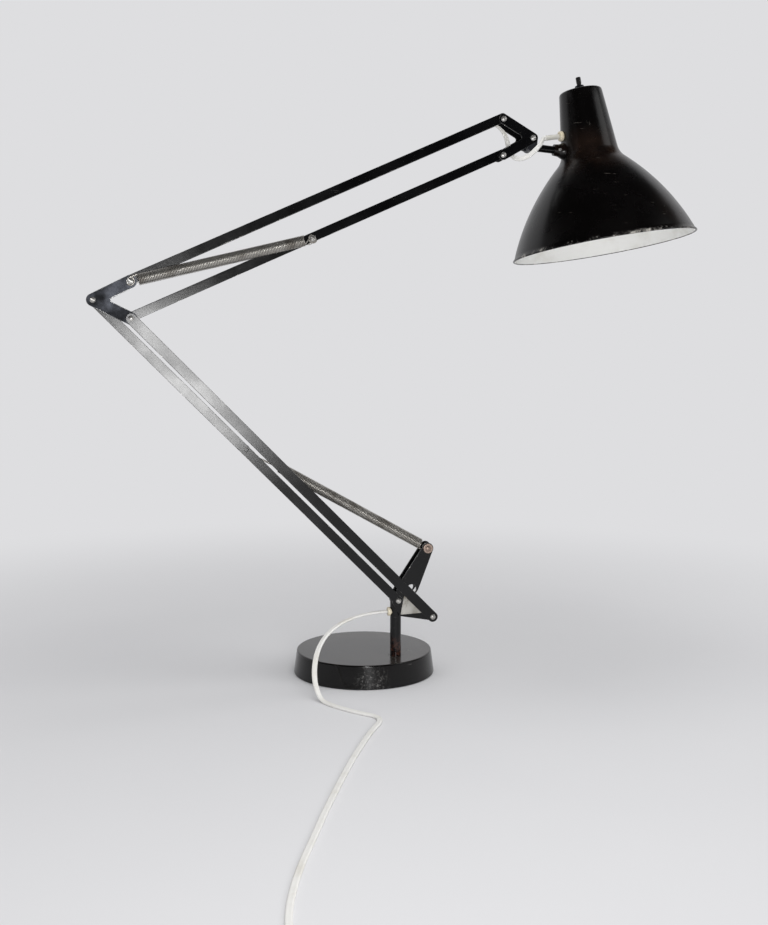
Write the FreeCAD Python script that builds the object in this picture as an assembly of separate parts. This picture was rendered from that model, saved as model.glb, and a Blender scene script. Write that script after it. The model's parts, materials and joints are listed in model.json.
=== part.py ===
import FreeCAD, Part
import math
import os

# Architect lamp: round weighted base, swivelling spindle, two sprung parallelogram arms and a bell shade.
# Millimetres, +Z up, origin at the centre of the base's underside.
# The arms move in the plane y = SPINDLE_Y; every hinge axis of the arms runs along Y.

Vec = FreeCAD.Vector

# Fits and clearances
SEAT_GAP = 0.05          # pressed, riveted or glued seats
RUN_GAP = 0.08           # radial clearance of a turning pin
SIDE_GAP = 0.3           # between plates that slide past each other
FLOAT_GAP = 0.15         # under the heads of turning pins

# Base
BASE_BOTTOM_R = 78.5
BASE_TOP_R = 75.0
BASE_H = 26.0
BASE_WALL = 2.5
BASE_TOP_T = 3.0
BASE_EDGE = 0.8
RIM_LIFT = 0.6
FELT_T = 2.0
BUSH_WALL = 2.0
BUSH_FLOOR = 5.0

# Spindle and its place on the base
SPINDLE_D = 12.0
SPINDLE_X = 28.0
SPINDLE_Y = -38.0
SPINDLE_BORE_D = 8.0
SPINDLE_TOP = 6.5        # above the arm pivot
OUTLET_DROP = 13.0       # cord outlet below the arm pivot
OUTLET_HOLE_D = 7.0
BUSHING_FLANGE_D = 9.6
BUSHING_FLANGE_T = 3.2
BUSHING_CORD_D = 5.8

# Sheet metal
PLATE_T = 1.5
FLANGE_T = 1.0
STRAP_T = 1.5
WEB_T = 1.0

# Arms: pivot places, lengths and angles in the photographed pose
PIVOT_X = 1.5            # arm pivot ahead of the spindle axis
PIVOT_Z = 88.4
LINK_L = 42.0            # short side of the lower parallelogram and of the elbow
LINK_ANGLE = 26.5
LOWER_L = 452.5
LOWER_ANGLE = 134.3
UPPER_L = 428.0
UPPER_ANGLE = 23.8
HEAD_REACH = 33.0
LOWER_BAR_W = 10.0
STRUT_W = 11.0
UPPER_BAR_W = 9.6
UPPER_BAR_RISE = 1.5     # the upper bars' middle line above their pivots
VEE_HALF_W = 6.5
HEAD_HALF_W = 5.2
VEE_FILLET = 2.5
LOWER_WEB_START = 22.0
UPPER_WEB_START = 9.0
WEB_END = 9.0

# Bracket cheeks, measured from the arm pivot
POST_X = 33.0
POST_Z = 56.5
POST_R = 6.0
SHOULDER_X = 12.2
SHOULDER_Z = 16.0
SHOULDER_R = 11.0
CHEEK_PIVOT_R = 7.0
CHEEK_STRUT_R = 5.0
TOE_X = 4.0
TOE_Z = -14.6
TOE_R = 3.0
SIGHT_HOLE_X = 14.7
SIGHT_HOLE_Z = 12.4
SIGHT_HOLE_D = 10.0
LABEL_T = 0.25
LABEL_CORNERS = ((6.5, 6.0), (30.0, -14.5), (2.5, -15.5))

# Pins, screws and nuts
PIN_D = 5.0
HEAD_D = 6.2
SPRING_HEAD_D = 6.8     # over the eyes of the upper springs
HEAD_T = 1.5
NUT_D = 8.6
RIVET_DOME = 1.3
SPRING_PIN_D = 4.0
SPRING_PIN_OFF = 1.0     # from the lower bar's middle line, away from its web
POST_WASHER_D = 10.4
POST_WASHER_T = 1.2
SPACER_D = 8.0

# Springs
WIRE_D = 2.0
COIL_D = 11.5
HOOK_GAP = 0.4
LOWER_CURLS = 33
UPPER_CURLS = 32
LOWER_SPRING_AT = 235.0  # along the lower bar from its pivot
LOWER_NEAR_LEAD = 4.5
LOWER_FAR_LEAD = 38.0
UPPER_SPRING_AT = 203.0  # along the upper bottom bar from its pivot
UPPER_LEAD = 4.5
LEAD_IN = 4.0

# Head joint
KNUCKLE_R = 5.6
BARREL_D = 10.4
BARREL_BACK = 8.0
BARREL_FRONT = 6.0
ROD_D = 8.0
ROD_ANGLE = -5.0
ROD_DROP = 8.3
ROD_REACH = 38.0
BOSS_D = 17.2
BOSS_NOSE_D = 12.0
BOSS_L = 11.0
BOSS_SINK = 5.0
BOSS_FLOOR = 2.0
SET_SCREW_D = 3.2
SET_SCREW_AT = 6.0

# Shade, measured along its own axis from the rim
SHADE_TILT = 8.3
SHADE_ROLL = 5.6         # turned about the rod, its mouth to the front
SHADE_H = 170.0
SHADE_WALL = 1.0
RIM_R = 99.0
BELL_H = 93.0
BELL_R = 36.0
BELL_BULGE = 6.6
THROAT_L = 11.0          # from the bell's top to the neck's foot
NECK_R = 30.6
THROAT_BULGE = 0.9
TOP_R = 22.8
TOP_EDGE = 3.0
BOSS_H = 108.0
GROMMET_RISE = 16.0      # above the boss
GROMMET_D = 11.0
GROMMET_T = 4.0
GROMMET_NECK_D = 7.0
SLEEVE_D = 5.4
SLEEVE_L = 15.0

# Lamp holder, bulb and switch
HOLDER_D = 36.0
HOLDER_L = 36.0
HOLDER_DROP = 13.0       # below the shade's top
CAP_D = 26.0
CAP_L = 25.0
CAP_GAP = 0.4
CAP_FLOOR = 10.0
GLASS_D = 58.0
GLASS_L = 84.0
GLASS_WALL = 0.9
GLASS_SHOULDER = 0.62
NIPPLE_D = 7.4
NUT_OUT_D = 9.8
NUT_OUT_T = 4.2
NIPPLE_PROUD = 0.6
PLUNGER_D = 5.0
BUTTON_D = 5.4
BUTTON_L = 6.0
BUTTON_TRAVEL = 2.5
BUTTON_STEM_L = 14.0

# Flex
FLEX_D = 5.6
LOWER_FLEX_STOP = 50.0   # flat flex in the lower bar ends this far short of the elbow
UPPER_FLEX_START = 30.0  # and starts again this far along the upper bar
UPPER_FLEX_STOP = 15.0   # ending this far short of the head
INNER_FLEX_W = 4.4
INNER_FLEX_T = 2.8
LOWER_FLEX_Y = 3.6       # in the lower bar it lies behind the spring's hook
FLEX_GAP = 0.3           # where one length of flex meets the next across a joint
ELBOW_FLEX_D = 3.2
HEAD_FLEX_D = 4.0

# Coil of put-away flex on the floor, its tie and the plug
COIL_X = -130.0
COIL_Y = -668.0
COIL_OUT_R = 38.0
COIL_STEP = 6.2
COIL_TURNS = 2.25        # in each of the two layers
COIL_LIFT = 1.0
COIL_START = 175.0       # degrees, where the flex runs on to the coil
COIL_TUCK = 1.4          # the climbing half turn lies this much further in
TIE_T = 0.8
TIE_W = 5.0
TIE_GAP = 0.2
TIE_ANGLE = 120.0
PLUG_L = 34.0
PLUG_W = 26.0
PLUG_T = 13.0
PLUG_PIN_D = 4.0
PLUG_PIN_L = 19.0
PLUG_PIN_PITCH = 18.6
RELIEF_L = 22.0
RELIEF_D = 9.0

# Layers outwards from the arms' middle plane, each from the one inside it
CHEEK_IN = SPINDLE_D / 2 + SEAT_GAP
CHEEK_OUT = CHEEK_IN + PLATE_T
FLANGE_IN = CHEEK_OUT + SIDE_GAP
FLANGE_OUT = FLANGE_IN + FLANGE_T
VEE_IN = FLANGE_OUT + SIDE_GAP
VEE_OUT = VEE_IN + PLATE_T
STRAP_IN = VEE_OUT + SIDE_GAP
STRAP_OUT = STRAP_IN + STRAP_T
SPRING_Y = FLANGE_OUT + SIDE_GAP + COIL_D / 2
FRONT = -1
BACK = 1
NECK_H = BELL_H + THROAT_L
GROMMET_H = BOSS_H + GROMMET_RISE
HOLDER_TOP_H = SHADE_H - HOLDER_DROP
PIN_R = PIN_D / 2
LOWER_WEB = LOWER_BAR_W / 2 - WEB_T
UPPER_WEB = UPPER_BAR_RISE + UPPER_BAR_W / 2 - WEB_T


def polar(length, degrees):
    a = math.radians(degrees)
    return Vec(length * math.cos(a), 0, length * math.sin(a))


# Pivots in the arms' middle plane, with x from the spindle axis
PIVOT_A = Vec(PIVOT_X, 0, PIVOT_Z)
PIVOT_B = PIVOT_A + polar(LINK_L, -LINK_ANGLE)
PIVOT_S = PIVOT_A + Vec(POST_X, 0, POST_Z)
PIVOT_D = PIVOT_A + polar(LOWER_L, LOWER_ANGLE)
PIVOT_C = PIVOT_D + polar(LINK_L, -LINK_ANGLE)
PIVOT_E = PIVOT_D + polar(LINK_L, LINK_ANGLE)
PIVOT_T = PIVOT_A + polar(LOWER_SPRING_AT, LOWER_ANGLE) + polar(SPRING_PIN_OFF, LOWER_ANGLE - 90)
PIVOT_G = PIVOT_E + polar(UPPER_L, UPPER_ANGLE)
PIVOT_H = PIVOT_C + polar(UPPER_L, UPPER_ANGLE)
PIVOT_F = PIVOT_C + polar(UPPER_SPRING_AT, UPPER_ANGLE)
PIVOT_J = (PIVOT_G + PIVOT_H) * 0.5 + Vec(HEAD_REACH, 0, 0)
ROD_DIR = polar(1, ROD_ANGLE)
ROD_FOOT = PIVOT_J + polar(ROD_DROP, ROD_ANGLE - 90)
BOSS_AT = ROD_FOOT + ROD_DIR * ROD_REACH


def neck_radius(height):
    share = (height - NECK_H) / (SHADE_H - NECK_H)
    return NECK_R + (TOP_R - NECK_R) * share


SHADE_TURN = FreeCAD.Rotation(ROD_DIR, -SHADE_ROLL)
SHADE_AXIS = SHADE_TURN.multVec(polar(1, 90 + SHADE_TILT))
SHADE_SIDE = SHADE_TURN.multVec(polar(1, SHADE_TILT))
SHADE_AT = BOSS_AT - SHADE_AXIS * BOSS_H + SHADE_SIDE * neck_radius(BOSS_H)
SPINDLE_AT = Vec(SPINDLE_X, SPINDLE_Y, 0)
OUTLET_Z = PIVOT_Z - OUTLET_DROP


# Building blocks
def on_arm(shape):
    shape.translate(SPINDLE_AT)
    return shape


def on_shade(shape):
    shape.rotate(Vec(0, 0, 0), Vec(0, 1, 0), -SHADE_TILT)
    shape.rotate(Vec(0, 0, 0), ROD_DIR, -SHADE_ROLL)
    shape.translate(SHADE_AT)
    return on_arm(shape)


def cyl_z(radius, low, high, x=0.0, y=0.0):
    return Part.makeCylinder(radius, high - low, Vec(x, y, low))


def cyl_y(at, radius, low, high):
    return Part.makeCylinder(radius, high - low, Vec(at.x, low, at.z), Vec(0, 1, 0))


def cyl_along(start, direction, radius, length):
    return Part.makeCylinder(radius, length, start, direction)


def cone_z(r_low, r_high, low, high):
    return Part.makeCone(r_low, r_high, high - low, Vec(0, 0, low))


def spun(edges):
    face = Part.Face(Part.Wire(edges))
    return face.revolve(Vec(0, 0, 0), Vec(0, 0, 1), 360)


def line(a, b):
    return Part.LineSegment(a, b).toShape()


def arc(a, middle, b):
    return Part.Arc(a, middle, b).toShape()


def spun_polygon(points):
    corners = [Vec(r, 0, h) for r, h in points]
    ring = zip(corners, corners[1:] + corners[:1])
    return spun([line(a, b) for a, b in ring])


def joined(first, others):
    return first.fuse(others).removeSplitter()


def slab(points, low, high):
    ring = [Vec(p.x, low, p.z) for p in points]
    face = Part.Face(Part.makePolygon(ring + ring[:1]))
    return face.extrude(Vec(0, high - low, 0))


def blade(p, rp, q, rq, low, high):
    """A flat link with round ends of two radii, between the depths low and high."""
    d = q - p
    heading = math.atan2(d.z, d.x)
    lean = math.acos((rp - rq) / d.Length)

    def rim(centre, radius, angle):
        return Vec(centre.x + radius * math.cos(angle), low, centre.z + radius * math.sin(angle))

    a, b = rim(p, rp, heading + lean), rim(q, rq, heading + lean)
    c, e = rim(q, rq, heading - lean), rim(p, rp, heading - lean)
    edges = [line(a, b), arc(b, rim(q, rq, heading), c)]
    edges += [line(c, e), arc(e, rim(p, rp, heading + math.pi), a)]
    return Part.Face(Part.Wire(edges)).extrude(Vec(0, high - low, 0))


def layer(side, inner, outer):
    return sorted((side * inner, side * outer))


def drilled(shape, at, radius):
    box = shape.BoundBox
    return shape.cut(cyl_y(at, radius, box.YMin - 1, box.YMax + 1))


def dome(at, side, base, radius, height):
    ball_r = (radius ** 2 + height ** 2) / (2 * height)
    centre = Vec(at.x, side * (base + height - ball_r), at.z)
    low, high = layer(side, base, base + height)
    return Part.makeSphere(ball_r, centre).common(cyl_y(at, radius, low, high))


def hexagon(at, across, low, high):
    corners = [at + polar(across / math.sqrt(3), 30 + 60 * i) for i in range(6)]
    return slab(corners, low, high)


# Base
def base_cone(inset, low, high):
    slope = (BASE_TOP_R - BASE_BOTTOM_R) / BASE_H
    return cone_z(BASE_BOTTOM_R + slope * low - inset, BASE_BOTTOM_R + slope * high - inset, low, high)


def bush_radius():
    return SPINDLE_D / 2 + RUN_GAP + BUSH_WALL


def base_shell():
    body = base_cone(0, RIM_LIFT, BASE_H)
    top_edges = [e for e in body.Edges if e.BoundBox.ZMin > BASE_H - 1e-3]
    body = body.makeFillet(BASE_EDGE, top_edges)
    body = body.cut(base_cone(BASE_WALL, RIM_LIFT, BASE_H - BASE_TOP_T))
    hole = cyl_z(bush_radius() + SEAT_GAP, 0, BASE_H + 1, SPINDLE_X, SPINDLE_Y)
    return body.cut(hole)


def base_weight():
    high = BASE_H - BASE_TOP_T
    body = base_cone(BASE_WALL + SIDE_GAP, FELT_T, high)
    return body.cut(cyl_z(bush_radius() + SEAT_GAP, BUSH_FLOOR, high + 1, SPINDLE_X, SPINDLE_Y))


def base_felt():
    return base_cone(BASE_WALL + SIDE_GAP, 0, FELT_T)


def spindle_bush():
    tube = cyl_z(bush_radius(), BUSH_FLOOR, BASE_H)
    tube = tube.cut(cyl_z(SPINDLE_D / 2 + RUN_GAP, BUSH_FLOOR - 1, BASE_H + 1))
    return on_arm(tube)


# Swivelling bracket
def spindle():
    top = PIVOT_Z + SPINDLE_TOP
    body = cyl_z(SPINDLE_D / 2, BUSH_FLOOR, top)
    body = body.cut(cyl_z(SPINDLE_BORE_D / 2, OUTLET_Z - SPINDLE_BORE_D / 2, top + 1))
    outlet = cyl_along(Vec(0, 0, OUTLET_Z), Vec(-1, 0, 0), OUTLET_HOLE_D / 2 + SEAT_GAP, SPINDLE_D)
    body = body.cut(outlet)
    return on_arm(drilled(body, PIVOT_A, PIN_R + SEAT_GAP))


def cheek(side):
    low, high = layer(side, CHEEK_IN, CHEEK_OUT)
    shoulder = PIVOT_A + Vec(SHOULDER_X, 0, SHOULDER_Z)
    toe = PIVOT_A + Vec(TOE_X, 0, TOE_Z)
    post = blade(PIVOT_S, POST_R, shoulder, SHOULDER_R, low, high)
    rest = [
        blade(shoulder, SHOULDER_R, PIVOT_A, CHEEK_PIVOT_R, low, high),
        blade(PIVOT_A, CHEEK_PIVOT_R, PIVOT_B, CHEEK_STRUT_R, low, high),
        blade(PIVOT_B, CHEEK_STRUT_R, toe, TOE_R, low, high),
        blade(PIVOT_A, CHEEK_PIVOT_R, toe, TOE_R, low, high),
        slab([shoulder, PIVOT_A, PIVOT_B], low, high),
        slab([PIVOT_A, toe, PIVOT_B], low, high),
    ]
    plate = joined(post, rest)
    plate = drilled(plate, PIVOT_A + Vec(SIGHT_HOLE_X, 0, SIGHT_HOLE_Z), SIGHT_HOLE_D / 2)
    plate = drilled(plate, PIVOT_A, PIN_R + SEAT_GAP)
    plate = drilled(plate, PIVOT_S, PIN_R + SEAT_GAP)
    return on_arm(drilled(plate, PIVOT_B, PIN_R + RUN_GAP))


def label_plate():
    """Plain metal plate on the front cheek, cut round the arm pivot."""
    low, high = layer(FRONT, CHEEK_OUT, CHEEK_OUT + LABEL_T)
    plate = slab([PIVOT_A + Vec(x, 0, z) for x, z in LABEL_CORNERS], low, high)
    return on_arm(plate.cut(cyl_y(PIVOT_A, LOWER_BAR_W / 2 + SIDE_GAP, low, high)))


def cord_bushing():
    wall = SPINDLE_D / 2
    start = Vec(-SPINDLE_BORE_D / 2, 0, OUTLET_Z)
    away = Vec(-1, 0, 0)
    sleeve = cyl_along(start, away, OUTLET_HOLE_D / 2, wall - SPINDLE_BORE_D / 2 + BUSHING_FLANGE_T)
    flange = cyl_along(Vec(-wall, 0, OUTLET_Z), away, BUSHING_FLANGE_D / 2, BUSHING_FLANGE_T)
    ring = joined(sleeve, [flange])
    ring = ring.cut(cyl_z(wall, OUTLET_Z - BUSHING_FLANGE_D, OUTLET_Z + BUSHING_FLANGE_D)).fuse(
        sleeve.common(cyl_z(wall, OUTLET_Z - BUSHING_FLANGE_D, OUTLET_Z + BUSHING_FLANGE_D)))
    return on_arm(ring.removeSplitter())


def screw(at, reach, gap=0.0):
    """A pin with a low domed head in front, and the length behind that its nut takes."""
    base = reach + gap
    body = cyl_y(at, PIN_R, -base, base + HEAD_T)
    return joined(body, [dome(at, FRONT, base, HEAD_D / 2, HEAD_T)])


def nut(at, reach, gap=0.0):
    base = reach + gap
    body = hexagon(at, NUT_D, base, base + HEAD_T)
    return drilled(body, at, PIN_R + SEAT_GAP)


def rivet(at, reach, gap=0.0):
    base = reach + gap
    body = cyl_y(at, PIN_R, -base, base)
    heads = [dome(at, side, base, HEAD_D / 2, RIVET_DOME) for side in (FRONT, BACK)]
    return joined(body, heads)


def post_screw():
    body = cyl_y(PIVOT_S, PIN_R, -CHEEK_OUT, CHEEK_OUT)
    ends = []
    for side in (FRONT, BACK):
        low, high = layer(side, CHEEK_OUT, CHEEK_OUT + POST_WASHER_T)
        ends.append(cyl_y(PIVOT_S, POST_WASHER_D / 2, low, high))
        ends.append(dome(PIVOT_S, side, CHEEK_OUT + POST_WASHER_T, PIN_D * 0.7, RIVET_DOME))
    return on_arm(joined(body, ends))


# Arms
def channel(start, angle, length, width, rise, web_start):
    """Two round-ended flanges joined by a web along one edge, laid from start at an angle."""
    near, far = Vec(0, 0, rise), Vec(length, 0, rise)
    flanges = [blade(near, width / 2, far, width / 2, *layer(side, FLANGE_IN, FLANGE_OUT))
               for side in (FRONT, BACK)]
    web = Part.makeBox(length - web_start - WEB_END, 2 * FLANGE_OUT, WEB_T,
                       Vec(web_start, -FLANGE_OUT, rise + width / 2 - WEB_T))
    return laid(joined(web, flanges), start, angle)


def laid(shape, start, angle):
    shape.rotate(Vec(0, 0, 0), Vec(0, 1, 0), -angle)
    shape.translate(start)
    return shape


def inner_flex(start, angle, first, last, web, depth):
    """The flat flex under a channel's web."""
    low = web - SEAT_GAP - INNER_FLEX_T
    corner = Vec(first, depth - INNER_FLEX_W / 2, low)
    body = Part.makeBox(last - first, INNER_FLEX_W, INNER_FLEX_T, corner)
    return on_arm(laid(body, start, angle))


def lower_bar():
    bar = channel(PIVOT_A, LOWER_ANGLE, LOWER_L, LOWER_BAR_W, 0, LOWER_WEB_START)
    bar = drilled(bar, PIVOT_A, PIN_R + RUN_GAP)
    bar = drilled(bar, PIVOT_D, PIN_R + RUN_GAP)
    return on_arm(drilled(bar, PIVOT_T, SPRING_PIN_D / 2 + SEAT_GAP))


def spring_pin():
    return on_arm(cyl_y(PIVOT_T, SPRING_PIN_D / 2, -FLANGE_OUT, FLANGE_OUT))


def strut(side):
    strap = blade(PIVOT_B, STRUT_W / 2, PIVOT_C, STRUT_W / 2, *layer(side, STRAP_IN, STRAP_OUT))
    strap = drilled(strap, PIVOT_B, PIN_R + SEAT_GAP)
    return on_arm(drilled(strap, PIVOT_C, PIN_R + RUN_GAP))


def strut_pin():
    body = cyl_y(PIVOT_B, PIN_R, -STRAP_OUT, STRAP_OUT)
    ends = []
    for side in (FRONT, BACK):
        ends.append(dome(PIVOT_B, side, STRAP_OUT, HEAD_D / 2, RIVET_DOME))
        ends.append(cyl_y(PIVOT_B, SPACER_D / 2, *layer(side, CHEEK_OUT + FLOAT_GAP, STRAP_IN)))
    return on_arm(joined(body, ends))


def vee_plate(side, apex, tips, half, holes):
    """A boomerang plate from an apex to two tips, with a rounded inner corner."""
    low, high = layer(side, VEE_IN, VEE_OUT)
    legs = [blade(apex, half, tip, half, low, high) for tip in tips]
    plate = joined(legs[0], legs[1:])
    middle = (tips[0] + tips[1]) * 0.5 - apex
    opening = (tips[0] - apex).getAngle(middle)
    corner = apex + middle.normalize() * (half / math.sin(opening))
    near = [e for e in plate.Edges
            if (e.CenterOfMass - Vec(corner.x, (low + high) / 2, corner.z)).Length < 0.1]
    plate = plate.makeFillet(VEE_FILLET, near)
    for at, gap in holes:
        plate = drilled(plate, at, PIN_R + gap)
    return on_arm(plate)


def elbow_plate(side):
    holes = [(PIVOT_D, SEAT_GAP), (PIVOT_C, SEAT_GAP), (PIVOT_E, SEAT_GAP)]
    return vee_plate(side, PIVOT_D, (PIVOT_E, PIVOT_C), VEE_HALF_W, holes)


def head_plate(side):
    holes = [(PIVOT_G, SEAT_GAP), (PIVOT_H, SEAT_GAP), (PIVOT_J, SEAT_GAP)]
    return vee_plate(side, PIVOT_J, (PIVOT_G, PIVOT_H), HEAD_HALF_W, holes)


def spring_screw(at, seat):
    """A long pin that carries a spring eye on each side, with a spacer and a head."""
    eye_in = SPRING_Y - WIRE_D / 2 - HOOK_GAP
    eye_out = SPRING_Y + WIRE_D / 2 + HOOK_GAP
    body = cyl_y(at, PIN_R, -eye_out, eye_out)
    ends = []
    for side in (FRONT, BACK):
        ends.append(cyl_y(at, SPACER_D / 2, *layer(side, seat, eye_in)))
        ends.append(dome(at, side, eye_out, SPRING_HEAD_D / 2, HEAD_T))
    return on_arm(joined(body, ends))


def upper_bar(start, spring_at=None):
    bar = channel(start, UPPER_ANGLE, UPPER_L, UPPER_BAR_W, UPPER_BAR_RISE, UPPER_WEB_START)
    bar = drilled(bar, start, PIN_R + RUN_GAP)
    bar = drilled(bar, start + polar(UPPER_L, UPPER_ANGLE), PIN_R + RUN_GAP)
    if spring_at is not None:
        bar = drilled(bar, spring_at, PIN_R + SEAT_GAP)
    return on_arm(bar)


# Wire and flex swept along lines and arcs
def swept(edges, start, heading, radius):
    path = Part.Wire(edges)
    ring = Part.Wire([Part.Circle(start, heading, radius).toShape()])
    pipe = Part.BRepOffsetAPI.MakePipeShell(path)
    pipe.add(ring)
    pipe.build()
    pipe.makeSolid()
    return pipe.shape()


def half_arc(p, toward, joint):
    """The arc from p to joint whose tangents meet at toward."""
    chord_mid = (p + joint) * 0.5
    rise = toward - chord_mid
    if rise.Length < 1e-6:
        return line(p, joint)
    tilt = math.atan2(rise.Length, (joint - p).Length / 2)
    sag = (joint - p).Length / 2 * math.tan(tilt / 2)
    return arc(p, chord_mid + rise.normalize() * sag, joint)


def biarc(p, tp, q, tq):
    """Two arcs from p to q with the tangents tp and tq at their ends."""
    v = q - p
    t = tp + tq
    k = 2 * (1 - tp.dot(tq))
    if k < 1e-9:
        d = v.dot(v) / (4 * v.dot(tq))
    else:
        vt = v.dot(t)
        d = (-vt + math.sqrt(vt * vt + k * v.dot(v))) / k
    a, b = p + tp * d, q - tq * d
    joint = (a + b) * 0.5
    return [half_arc(p, a, joint), half_arc(joint, b, q)]


def self_gap(edges, diameter, name):
    """Least clear distance between stretches of one tube, measured on points."""
    points, runs, done = [], [], 0.0
    for e in edges:
        count = max(2, int(e.Length / (diameter * 0.6)))
        for p in e.discretize(count)[:-1]:
            points.append(p)
        runs += [done + e.Length * i / (count - 1) for i in range(count - 1)]
        done += e.Length
    least = 1e9
    apart = 2.2 * diameter
    for i, p in enumerate(points):
        for j in range(i + 1, len(points)):
            if runs[j] - runs[i] > apart:
                least = min(least, p.distanceToPoint(points[j]))
    print(name, "length", round(done, 1), "least self gap", round(least - diameter, 2))


def spring(p, pin_p, q, pin_q, depth, near_lead, far_lead, curls, name):
    """A wound spring with a hook round each pin: p and q are the pins' centres, with their diameters."""
    e = (q - p)
    span = e.Length
    e.normalize()
    n = e.cross(Vec(0, 1, 0))
    b = e.cross(n)
    base = Vec(p.x, depth, p.z)
    coil_r = COIL_D / 2 - WIRE_D / 2
    hook_p, hook_q = [d / 2 + HOOK_GAP + WIRE_D / 2 for d in (pin_p, pin_q)]

    def at(along, up, out=0.0):
        return base + e * along + n * up + b * out

    def around(along, radius, degrees):
        a = math.radians(degrees)
        return at(along + radius * math.cos(a), radius * math.sin(a))

    first, last = near_lead + LEAD_IN, span - far_lead - LEAD_IN
    pitch = (last - first) / (curls + 0.5)

    def turn(phi):
        rise = first + pitch * (phi - 90) / 360
        a = math.radians(phi)
        place = at(rise, coil_r * math.cos(a), coil_r * math.sin(a))
        speed = n * (-coil_r * math.sin(a)) + b * (coil_r * math.cos(a)) + e * (pitch / (2 * math.pi))
        return place, speed.normalize()

    open_end, close_end = 300, 240
    start = around(0, hook_p, open_end)
    start_dir = (n * -math.cos(math.radians(open_end)) + e * math.sin(math.radians(open_end)))
    edges = [arc(start, around(0, hook_p, (open_end + 90) / 2), around(0, hook_p, 90))]
    edges.append(line(around(0, hook_p, 90), at(near_lead, hook_p)))
    edges += biarc(at(near_lead, hook_p), e, *turn(90))
    for i in range(2 * curls + 1):
        edges += biarc(*turn(90 + 180 * i), *turn(270 + 180 * i))
    leave = at(span - far_lead, hook_q)
    edges += biarc(*turn(270 + 360 * curls), leave, e)
    edges.append(line(leave, around(span, hook_q, 90)))
    far_mid = (90 + close_end - 360) / 2
    edges.append(arc(around(span, hook_q, 90), around(span, hook_q, far_mid), around(span, hook_q, close_end)))
    self_gap(edges, WIRE_D, name)
    return on_arm(swept(edges, start, start_dir, WIRE_D / 2))


def flex_edges(points, diameter, name):
    """Straight runs joined by tangent arcs, each as large as its two runs allow."""
    edges, radii = [], []
    here = points[0]
    for i in range(1, len(points) - 1):
        back, on = points[i - 1] - points[i], points[i + 1] - points[i]
        cut = 0.45 * min(back.Length, on.Length)
        turn = math.pi - back.getAngle(on)
        radii.append(round(cut / math.tan(turn / 2), 1))
        a, b = points[i] + back.normalize() * cut, points[i] + on.normalize() * cut
        edges += [line(here, a), half_arc(a, points[i], b)]
        here = b
    edges.append(line(here, points[-1]))
    print(name, "radii", radii, "least in diameters", round(min(radii) / diameter, 1))
    return edges


def flex_tube(points, diameter, name):
    edges = flex_edges(points, diameter, name)
    tube = swept(edges, points[0], points[1] - points[0], diameter / 2)
    length = sum(e.Length for e in edges)
    ideal = math.pi * diameter ** 2 / 4 * length
    print(name, "length", round(length, 1), "volume over section x length", round(tube.Volume / ideal, 4))
    return tube


def elbow_flex():
    """From the lower bar's flex round the elbow pin to the upper bar's, behind the elbow plates."""
    down, leg = polar(1, LOWER_ANGLE + 180), polar(1, LINK_ANGLE)
    out, over = polar(1, LOWER_ANGLE + 90), polar(1, LINK_ANGLE + 90)
    swing = PIN_R + ELBOW_FLEX_D / 2 + HOOK_GAP
    inset = LOWER_WEB - SEAT_GAP - ELBOW_FLEX_D / 2
    rise = UPPER_WEB - SEAT_GAP - ELBOW_FLEX_D / 2
    along, above = polar(1, UPPER_ANGLE), polar(1, UPPER_ANGLE + 90)
    aside = Vec(0, LOWER_FLEX_Y, 0)
    points = [
        PIVOT_D + down * LOWER_FLEX_STOP + out * inset + aside,
        PIVOT_D + down * LOWER_FLEX_STOP * 0.64 + out * inset * 0.4 + aside * 0.8,
        PIVOT_D + down * LOWER_FLEX_STOP * 0.32 - out * swing,
        PIVOT_D + leg * LOWER_FLEX_STOP * 0.28 - over * swing,
        PIVOT_E - leg * UPPER_FLEX_START * 0.4 - over * swing * 1.1,
        PIVOT_E + along * UPPER_FLEX_START * 0.15 - above * swing * 1.1,
        PIVOT_E + along * UPPER_FLEX_START * 0.6 + above * rise * 0.7,
        PIVOT_E + along * UPPER_FLEX_START + above * rise,
    ]
    return on_arm(flex_tube(points, ELBOW_FLEX_D, "elbow flex"))


# Head joint and shade
def knuckle():
    reach = VEE_IN - SIDE_GAP
    eye = blade(PIVOT_J, KNUCKLE_R, ROD_FOOT, KNUCKLE_R, -reach, reach)
    barrel = cyl_along(ROD_FOOT - ROD_DIR * BARREL_BACK, ROD_DIR, BARREL_D / 2, BARREL_BACK + BARREL_FRONT)
    body = joined(eye, [barrel])
    body = body.cut(cyl_along(ROD_FOOT, ROD_DIR, ROD_D / 2 + SEAT_GAP, ROD_REACH))
    return on_arm(drilled(body, PIVOT_J, PIN_R + RUN_GAP))


def shade_rod():
    length = ROD_REACH - BOSS_FLOOR
    return on_arm(cyl_along(ROD_FOOT, ROD_DIR, ROD_D / 2, length))


def shade_profile(inset):
    """The shade's half section as edges from the rim up to the top, drawn in by the wall."""
    rim, bell = Vec(RIM_R - inset, 0, 0), Vec(BELL_R - inset, 0, BELL_H)
    neck, top = Vec(NECK_R - inset, 0, NECK_H), Vec(TOP_R - inset, 0, SHADE_H - inset)
    out = Vec(bell.z, 0, rim.x - bell.x).normalize()
    swell = (rim + bell) * 0.5 + out * BELL_BULGE
    throat_out = Vec(neck.z - bell.z, 0, bell.x - neck.x).normalize()
    throat = (bell + neck) * 0.5 - throat_out * THROAT_BULGE
    return [arc(rim, swell, bell), arc(bell, throat, neck), line(neck, top)], rim, top


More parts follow.
